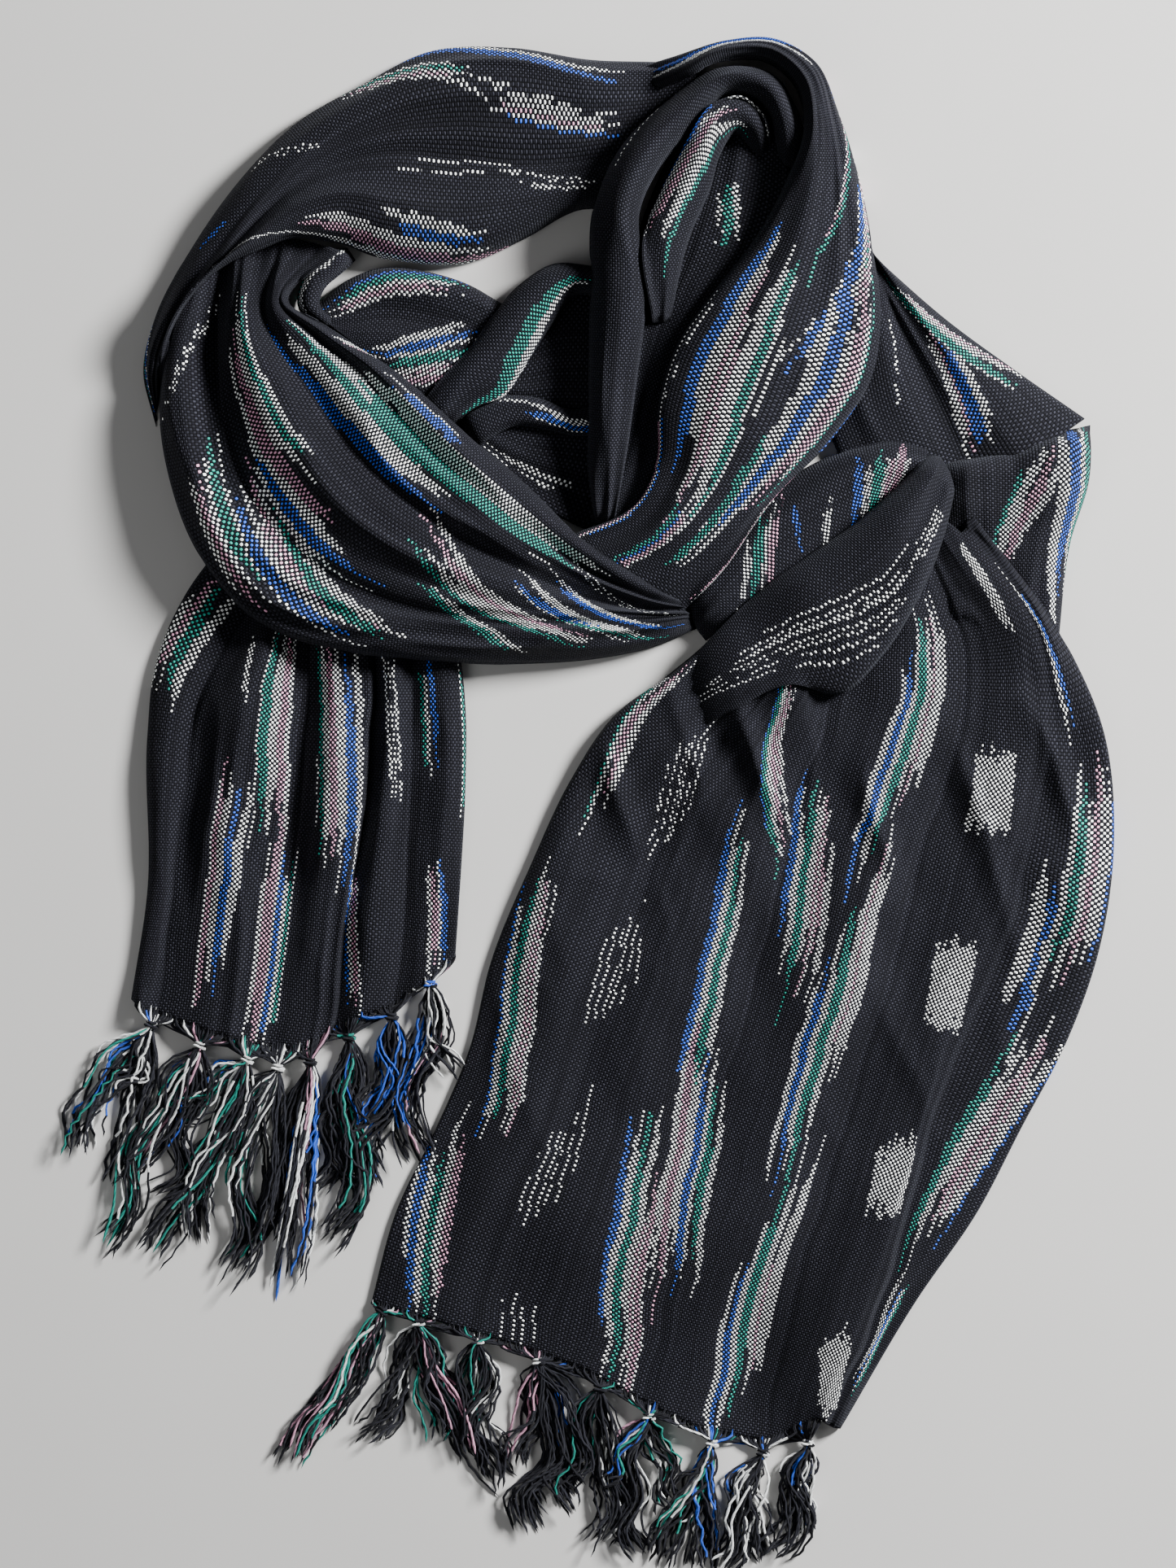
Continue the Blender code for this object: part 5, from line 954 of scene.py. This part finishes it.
def ruffled(stretch, points, edges):
    """The grid with creases that run along the warp, slow swells, and slanted creases and puckers where the
    loop pulls. They die out at the edges."""
    creases, swells = RUFFLES.get(stretch.name, RUFFLES["else"])
    v = warp_lengths(points)
    u = np.broadcast_to(edges, v.shape)
    seed = SEED + sum(ord(letter) for letter in stretch.name)
    inside = np.minimum(edges - edges[0], edges[-1] - edges)
    fade = np.clip(inside / FLAT_EDGE, 0.0, 1.0)
    crease = 1.0 - 2.2 * np.abs(value_noise(u, v, *WAVES["crease"], seed))
    fine = value_noise(u, v, *WAVES["fine crease"], seed + 1)
    swell = value_noise(u, v, *WAVES["swell"], seed + 2)
    points = points.copy()
    points[..., 2] += fade * (creases * (crease + 0.3 * fine) + swells * swell)
    if stretch.name in PULLS:
        pull, bottom, top, sway = PULLS[stretch.name]
        x, y = points[..., 0], points[..., 1]
        nearness = np.clip((y - bottom) / (top - bottom), 0.0, 1.0)
        c, s = PULL_LEAN
        slanted = value_noise(c * x + s * y, c * y - s * x, *WAVES["slanted crease"], seed + 3)
        points[..., 2] += fade * pull * nearness * (1.0 - 2.0 * np.abs(slanted))
        points[..., 0] += fade * sway * value_noise(u, v, *WAVES["pucker"], seed + 4)
    return points


def laid_on(points, heap):
    """Lifts the grid clear of the cloth below, and eases it over the step."""
    need = np.maximum(heap.below(points) + LAYER_GAP - points[..., 2], 0.0)
    eased = softened(need, (4, 8))
    points = points.copy()
    points[..., 2] = np.maximum(points[..., 2] + np.maximum(need, eased), FLOOR_CLEAR)
    return points


def tucked(stretch, points):
    """The grid with its ends rolled down as quarter circles, where an end goes under other cloth."""
    start, end, depth = TUCKS.get(stretch.name, (0.0, 0.0, 0.0))
    run = warp_lengths(points)
    run = run - run[0]
    points = points.copy()
    for reach, far in ((start, run), (end, run[-1] - run)):
        if reach > 0.0:
            t = np.clip(1.0 - far / reach, 0.0, 1.0)
            points[..., 2] -= depth * (1.0 - np.sqrt(1.0 - t * t))
    points[..., 2] = np.maximum(points[..., 2], FLOOR_CLEAR)
    return points


def skirt(edge, inner, heap):
    """Columns that carry an edge on down: out by a sine of the way, and down to what it lies on."""
    out = edge[:, :2] - inner[:, :2]
    out /= np.maximum(np.linalg.norm(out, axis=1), 1e-6)[:, None]
    columns = []
    under = np.minimum(heap.below(edge) + 0.5 * LAYER_GAP, edge[:, 2])
    under = np.maximum(under, FLOOR_CLEAR)
    bulge = SKIRT_BULGE * np.clip(edge[:, 2] - under, 0.0, 1.0)
    for q in range(1, SKIRT_STEPS + 1):
        t = q / SKIRT_STEPS
        column = edge.copy()
        column[:, :2] += out * (bulge * math.sin(math.pi * min(1.0, 1.15 * t)))[:, None]
        column[:, 2] = edge[:, 2] + (under - edge[:, 2]) * t**1.2
        columns.append(column)
    return np.stack(columns, axis=1)


def draft_threads(warps, share):
    """A draft such as B5 W2 as one letter for each thread, with only a share of its threads where the cloth
    was charted while it is bunched up."""
    return "".join(word[0] * max(1, round(int(word[1:]) * share)) for word in warps.split())


def nearest_thread(points, edges, lengths, place, across):
    """Where a plan place lies on the cloth: across it and along its warp, in cm."""
    far = np.hypot(points[..., 0] - place[0], points[..., 1] - place[1])
    r, c = np.unravel_index(far.argmin(), far.shape)
    u, v = edges[c], lengths[r, c]
    return (v, u) if across else (u, v)


def flame_ends(threads, length, rng):
    """How far each of a spear's threads stops short of its end: a lens over the whole spear, a leaning point
    for each stripe in it and a little chance, with some single threads that run on past it."""
    number = len(threads)
    share = (np.arange(number) + 0.5) / number - 0.5
    stop = LENS * length * (2.0 * share) ** 2 * min(1.0, number / FULL_LENS)
    plain = PLAIN_POINT if len(set(threads)) == 1 else 1.0
    point = min(LONGEST_POINT, POINT_SHARE * length) * plain
    first = 0
    for _, stripe in groupby(threads):
        wide = len(list(stripe))
        over = np.linspace(-1.0, 1.0, wide) if wide > 1 else np.zeros(1)
        lean = rng.uniform(-0.9, 0.9)
        blunt = rng.normal(-0.25, 0.35)
        stop[first:first + wide] += point * (blunt + np.abs(over - lean) * min(1.0, wide / FULL_POINT))
        first += wide
    lone = (rng.uniform(0.0, 1.0, number) < LONE_SHARE) * rng.uniform(0.5, 1.8, number) * plain
    return stop + rng.normal(0.0, RAGGED, number) - lone


def dye_cells(stretch, points, edges, lengths):
    """The colour of every face: the ground, and on it each spear's threads between their ragged ends."""
    across = stretch.name in ACROSS_WARP
    middle = 0.25 * (lengths[1:, 1:] + lengths[1:, :-1] + lengths[:-1, 1:] + lengths[:-1, :-1])
    u = np.broadcast_to(0.5 * (edges[1:] + edges[:-1]), middle.shape)
    u, v = (middle, u) if across else (u, middle)
    rng = np.random.default_rng(SEED + len(stretch.name) * 31 + ord(stretch.name[0]))
    colour = np.empty((*middle.shape, 3))
    colour[:] = DYES["ground"]
    colour *= rng.uniform(0.7, 1.4, (1, middle.shape[1], 1))
    pink = rng.uniform(0.0, 1.0, MOST_THREADS) < PINK_SHARE
    for spear in SPEARS[stretch.name]:
        threads = draft_threads(spear.warps, BUNCHED.get(stretch.name, BUNCHED["else"]))
        u0, v0 = nearest_thread(points, edges, lengths, spear.start, across)
        u1, v1 = nearest_thread(points, edges, lengths, spear.end, across)
        slant = spear.slant
        if v0 > v1:
            u0, v0, u1, v1, slant = u1, v1, u0, v0, -slant
        line = u0 + (u1 - u0) * np.clip((v - v0) / max(v1 - v0, 1e-3), 0.0, 1.0)
        index = np.floor((u - line) / THREAD + 0.5 * len(threads)).astype(int)
        on = (index >= 0) & (index < len(threads))
        index = np.clip(index, 0, len(threads) - 1)
        lag = slant * ((np.arange(len(threads)) + 0.5) / len(threads) - 0.5)
        low = (v0 + lag + flame_ends(threads, v1 - v0, rng))[index]
        high = (v1 + lag - flame_ends(threads, v1 - v0, rng))[index]
        runs = value_noise(u, v, THREAD, DASH, rng.integers(1 << 30)) * 0.5 + 0.5
        depth = np.minimum(v - low, high - v)
        letters = np.array(list(threads))[index]
        on &= (depth > 0.0) & (runs < 0.45 + depth / FEATHER) & (letters != "N")
        on &= (letters != "D") | (runs > DASH_GAPS)
        for letter in set(threads) - {"N"}:
            colour[on & (letters == letter)] = DYES["W" if letter in "DP" else letter]
        colour[on & (letters == "P") & pink[index]] = DYES["pink"]
    fade = 1.0 + FADING * value_noise(u, v, *WAVES["fading"], SEED + 5)
    return colour * fade[..., None]


def mesh_from(name, points, quads, uv, dye, uv_name):
    """A mesh of quads between points in cm, with a UV map and a colour for every face."""
    mesh = bpy.data.meshes.new(name)
    mesh.vertices.add(len(points))
    mesh.vertices.foreach_set("co", ((points + np.array([*PLAN_SHIFT, 0.0])) * CM).ravel())
    mesh.loops.add(4 * len(quads))
    mesh.loops.foreach_set("vertex_index", quads.ravel())
    mesh.polygons.add(len(quads))
    mesh.polygons.foreach_set("loop_start", np.arange(0, 4 * len(quads), 4))
    mesh.polygons.foreach_set("use_smooth", np.ones(len(quads), dtype=bool))
    mesh.update(calc_edges=True)
    mesh.uv_layers.new(name=uv_name).data.foreach_set("uv", uv[quads.ravel()].ravel())
    colours = np.ones((len(quads), 4, 4))
    colours[..., :3] = dye.reshape(-1, 1, 3)
    mesh.color_attributes.new("dye", "FLOAT_COLOR", "CORNER").data.foreach_set("color", colours.ravel())
    mesh.validate()
    return mesh


def grid_mesh(name, points, uv, dye, uv_name):
    """A grid of points in cm as a mesh that faces up."""
    rows, columns = points.shape[:2]
    r, c = np.meshgrid(np.arange(rows - 1), np.arange(columns - 1), indexing="ij")
    a = (r * columns + c).ravel()
    quads = np.stack([a, a + 1, a + columns + 1, a + columns], axis=1)
    flat = points.reshape(-1, 3)
    sides = flat[quads[:, 1]] - flat[quads[:, 0]], flat[quads[:, 3]] - flat[quads[:, 0]]
    if np.cross(*sides)[:, 2].sum() < 0.0:
        quads = quads[:, ::-1]
    return mesh_from(name, flat, quads, uv.reshape(-1, 2), dye, uv_name)


def add_piece(name, mesh, material, *nodes):
    """An object for a mesh, which rides on the root body and stands for these nodes."""
    piece = bpy.data.objects.new(name, mesh)
    mesh.materials.append(material)
    bpy.context.scene.collection.objects.link(piece)
    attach(piece, "root")
    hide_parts(*nodes)
    return piece


def weft_places(whole, lengths):
    """How far along the warp each point is, cm, with the weft square to the warp.

    From the middle warp outwards, each step across adds the part of it that runs along the warp, so that a line
    of equal places crosses every warp at a right angle.
    """
    run = softened(np.gradient(whole, axis=0), (10, 3))
    run /= np.maximum(np.linalg.norm(run, axis=2, keepdims=True), 1e-9)
    slips = np.sum(np.diff(whole, axis=1, prepend=whole[:, :1]) * run, axis=2)
    slips = softened(np.cumsum(slips, axis=1), (10, 0))
    middle = whole.shape[1] // 2
    return lengths[:, None] + slips - slips[:, middle:middle + 1]


def weave_stretch(stretch, points, edges, heap, material):
    """One stretch of the cloth as a sheet with its edges rolled under."""
    low = skirt(points[:, 0], points[:, 1], heap)[:, ::-1]
    high = skirt(points[:, -1], points[:, -2], heap)
    lengths = warp_lengths(points)
    dye = dye_cells(stretch, points, edges, lengths)
    whole = np.concatenate([low, points, high], axis=1)
    v = weft_places(whole, lengths.mean(axis=1))
    arc = np.cumsum(np.linalg.norm(np.diff(whole, axis=1, prepend=whole[:, :1]), axis=2), axis=1)
    arc = softened(arc, (14, 0)) / THREAD
    u = arc - arc[:, SKIRT_STEPS:SKIRT_STEPS + 1]
    u[:, SKIRT_STEPS:-SKIRT_STEPS] = np.arange(points.shape[1])
    u[:, -SKIRT_STEPS:] = points.shape[1] - 1 + (arc - arc[:, -SKIRT_STEPS - 1:-SKIRT_STEPS])[:, -SKIRT_STEPS:]
    uv = np.stack([u, v / THREAD], axis=2)
    dye = np.pad(dye, ((0, 0), (SKIRT_STEPS, SKIRT_STEPS), (0, 0)), mode="edge")
    name = f"cloth_{stretch.name}"
    piece = add_piece(name, grid_mesh(name, whole, uv, dye, "threads"), material, stretch.name)
    wall = piece.modifiers.new("cloth thickness", "SOLIDIFY")
    wall.thickness = CLOTH_THICK * CM
    wall.offset = -1.0
    return piece, whole


def yarn_tubes(name, paths, radii, colours):
    """Round yarns along paths in cm: rings of sides round each path, a little fat and thin in a spiral as two
    plies make it, and drawn in at both ends. All are one mesh, with a colour for each ring."""
    count, rings = paths.shape[:2]
    run = run_lengths(paths, 1)
    ahead = np.gradient(paths, axis=1)
    ahead /= np.maximum(np.linalg.norm(ahead, axis=2, keepdims=True), 1e-9)
    side = np.cross(ahead, (0.0, 0.0, 1.0))
    side /= np.maximum(np.linalg.norm(side, axis=2, keepdims=True), 1e-9)
    top = np.cross(side, ahead)
    turn = np.linspace(0.0, 2.0 * math.pi, YARN_SIDES + 1)
    plies = 1.0 + PLY_DEPTH * np.cos(2.0 * turn - 2.0 * math.pi * run[..., None] / PLY_PITCH)
    ends = np.ones(rings)
    ends[[0, -1]] = 0.1
    size = radii[:, None, None] * ends[None, :, None] * plies
    points = paths[:, :, None] + size[..., None] * (np.cos(turn)[:, None] * side[:, :, None]
                                                    + np.sin(turn)[:, None] * top[:, :, None])
    lines = YARN_SIDES + 1
    b, r, c = np.meshgrid(np.arange(count), np.arange(rings - 1), np.arange(YARN_SIDES), indexing="ij")
    a = ((b * rings + r) * lines + c).ravel()
    quads = np.stack([a, a + lines, a + lines + 1, a + 1], axis=1)
    uv = np.stack(np.broadcast_arrays(turn / math.pi, (run / PLY_PITCH)[..., None]), axis=3)
    dye = colours[:, :-1, None].repeat(YARN_SIDES, axis=2)
    return mesh_from(name, points.reshape(-1, 3), quads, uv.reshape(-1, 2), dye, "twist")


def bunch_of_yarns(bunch, inside, hem, rng):
    """The paths of one knot's yarns, and the coil of yarn that is the knot.

    The yarns of a group run in from along the hem, through the knot and on together along a curve that sways.
    Each keeps its own place in the group's flat round section, which turns a little and opens out to the
    end, and each is crimped by a short wave."""
    knot = np.array(bunch.knot)
    middle = np.hypot(hem[:, 0] - knot[0], hem[:, 1] - knot[1]).argmin()
    s = np.linspace(0.0, 1.0, YARN_RINGS)
    paths, colours = [], []
    knot_high = hem[middle, 2] * 0.5 + KNOT_RISE
    for ends_at, dyes, number in bunch.ends:
        out = np.array(ends_at) - knot
        across = np.array([-out[1], out[0]]) / np.hypot(*out)
        sway = rng.normal(0.0, bunch.curl, 3) * np.hypot(*out)
        turn0, turns = rng.uniform(0.0, 6.28), rng.uniform(-3.5, 3.5)
        for _ in range(number):
            column = np.clip(middle + int(rng.normal(0.0, HEM_REACH)), 0, len(hem) - 1)
            own = sway + rng.normal(0.0, STRAY, 3)
            stop = rng.normal(1.0, UNEVEN)
            mid = [knot + out * t * stop + across * w for t, w in zip((0.3, 0.6, 0.84), own)]
            plan, length = smooth_path([inside[column, :2], hem[column, :2], knot, *mid, knot + out * stop], s)
            at_knot = np.hypot(*(plan - knot).T).argmin() / (YARN_RINGS - 1.0)
            past = np.clip((s - at_knot) / (1.0 - at_knot), 0.0, 1.0)
            turn = turn0 + rng.uniform(0.0, 6.28) + turns * past
            far = math.sqrt(rng.uniform(0.02, 1.0))
            wide = far * GROUP_WIDE * (0.25 + 0.75 * np.sqrt(past))
            crimp = rng.normal(0.0, CRIMP) * np.sin(rng.uniform(0.0, 6.28) + s * length * rng.uniform(5.0, 8.0))
            plan = plan + across * ((wide * np.cos(turn) + crimp * np.minimum(1.0, 8.0 * past))
                                    * np.minimum(1.0, 6.0 * past))[:, None]
            start = hem[column, 2] - CLOTH_THICK
            high = np.interp(s, (0.0, 0.5 * at_knot, at_knot, at_knot + 0.25, 1.0),
                             (start - 0.05, start + 0.05, knot_high, YARN_RADIUS + 0.3, YARN_RADIUS + 0.2))
            high = high + 0.6 * wide * np.sin(turn) + 0.05 * crimp
            paths.append(np.column_stack([plan, np.maximum(high, YARN_RADIUS + 0.01)]))
            colours.append(yarn_dye(dyes, s, rng))
    away = np.mean([np.array(e[0]) for e in bunch.ends], axis=0) - knot
    away /= np.hypot(*away)
    side = np.array([-away[1], away[0]])
    for tilt in (-0.5, 0.6):
        turns = np.linspace(0.0, 2.0 * math.pi * COIL_TURNS, YARN_RINGS)
        fat = 0.20 + 0.10 * np.sin(s * math.pi)
        wound = fat * np.cos(turns + tilt * s * 3.0)
        coil = knot + away * ((s - 0.5) * COIL_LONG)[:, None] + side * wound[:, None]
        paths.append(np.column_stack([coil, np.maximum(knot_high + fat * np.sin(turns), YARN_RADIUS)]))
        colours.append(yarn_dye(bunch.coil, s, rng))
    return paths, colours


def yarn_dye(letters, s, rng):
    """One yarn's colour at each ring: the ground, and a dyed length in one of the letters' colours."""
    letter = letters[rng.integers(len(letters))]
    colour = np.empty((len(s), 3))
    colour[:] = np.array(DYES["ground"]) * rng.uniform(0.5, 1.3)
    if letter == "N":
        return colour
    tone = DYES["pink"] if letter == "P" else DYES[letter]
    start = rng.uniform(-0.4, 0.4)
    dyed = (s > start) & (s < start + rng.uniform(0.5, 1.0))
    colour[dyed] = np.array(tone) * rng.uniform(0.7, 1.05)
    return colour


def add_fringe(name, points, bunches, nodes, material, seed):
    """One end's fringe as a single piece."""
    rng = np.random.default_rng(seed)
    paths, colours = [], []
    for bunch in bunches:
        more, shades = bunch_of_yarns(bunch, points[-2], points[-1], rng)
        paths += more
        colours += shades
    paths, colours = np.array(paths), np.array(colours)
    radii = YARN_RADIUS * rng.uniform(0.8, 1.15, len(paths))
    piece = add_piece(name, yarn_tubes(name, paths, radii, colours), material, *nodes)
    return piece


def main():
    """The cloth stretch by stretch from the lowest up, then its fringes, the camera and the light."""
    light_and_camera()
    cotton = woven_cotton("woven_cotton")
    yarn = plied_yarn("plied_yarn")
    grids, edges, pieces, fringes = {}, {}, {}, {}
    for stretch in STRETCHES:
        points, edges[stretch.name] = warp_grid(stretch)
        grids[stretch.name] = ruffled(stretch, points, edges[stretch.name])
    for stretch in STRETCHES:
        heap = Heap([grids[name] for name in stretch.lies_on])
        points = tucked(stretch, laid_on(grids[stretch.name], heap))
        grids[stretch.name] = points
        pieces[stretch.name] = weave_stretch(stretch, points, edges[stretch.name], heap, cotton)
    for number, (tail, bunches) in enumerate(FRINGES.items()):
        own = [f"{tail}_tassel_{k:02d}" for k in TASSELS[tail]]
        fringes[tail] = add_fringe(f"fringe_{tail}", grids[tail], bunches, own, yarn, SEED + number)


main()
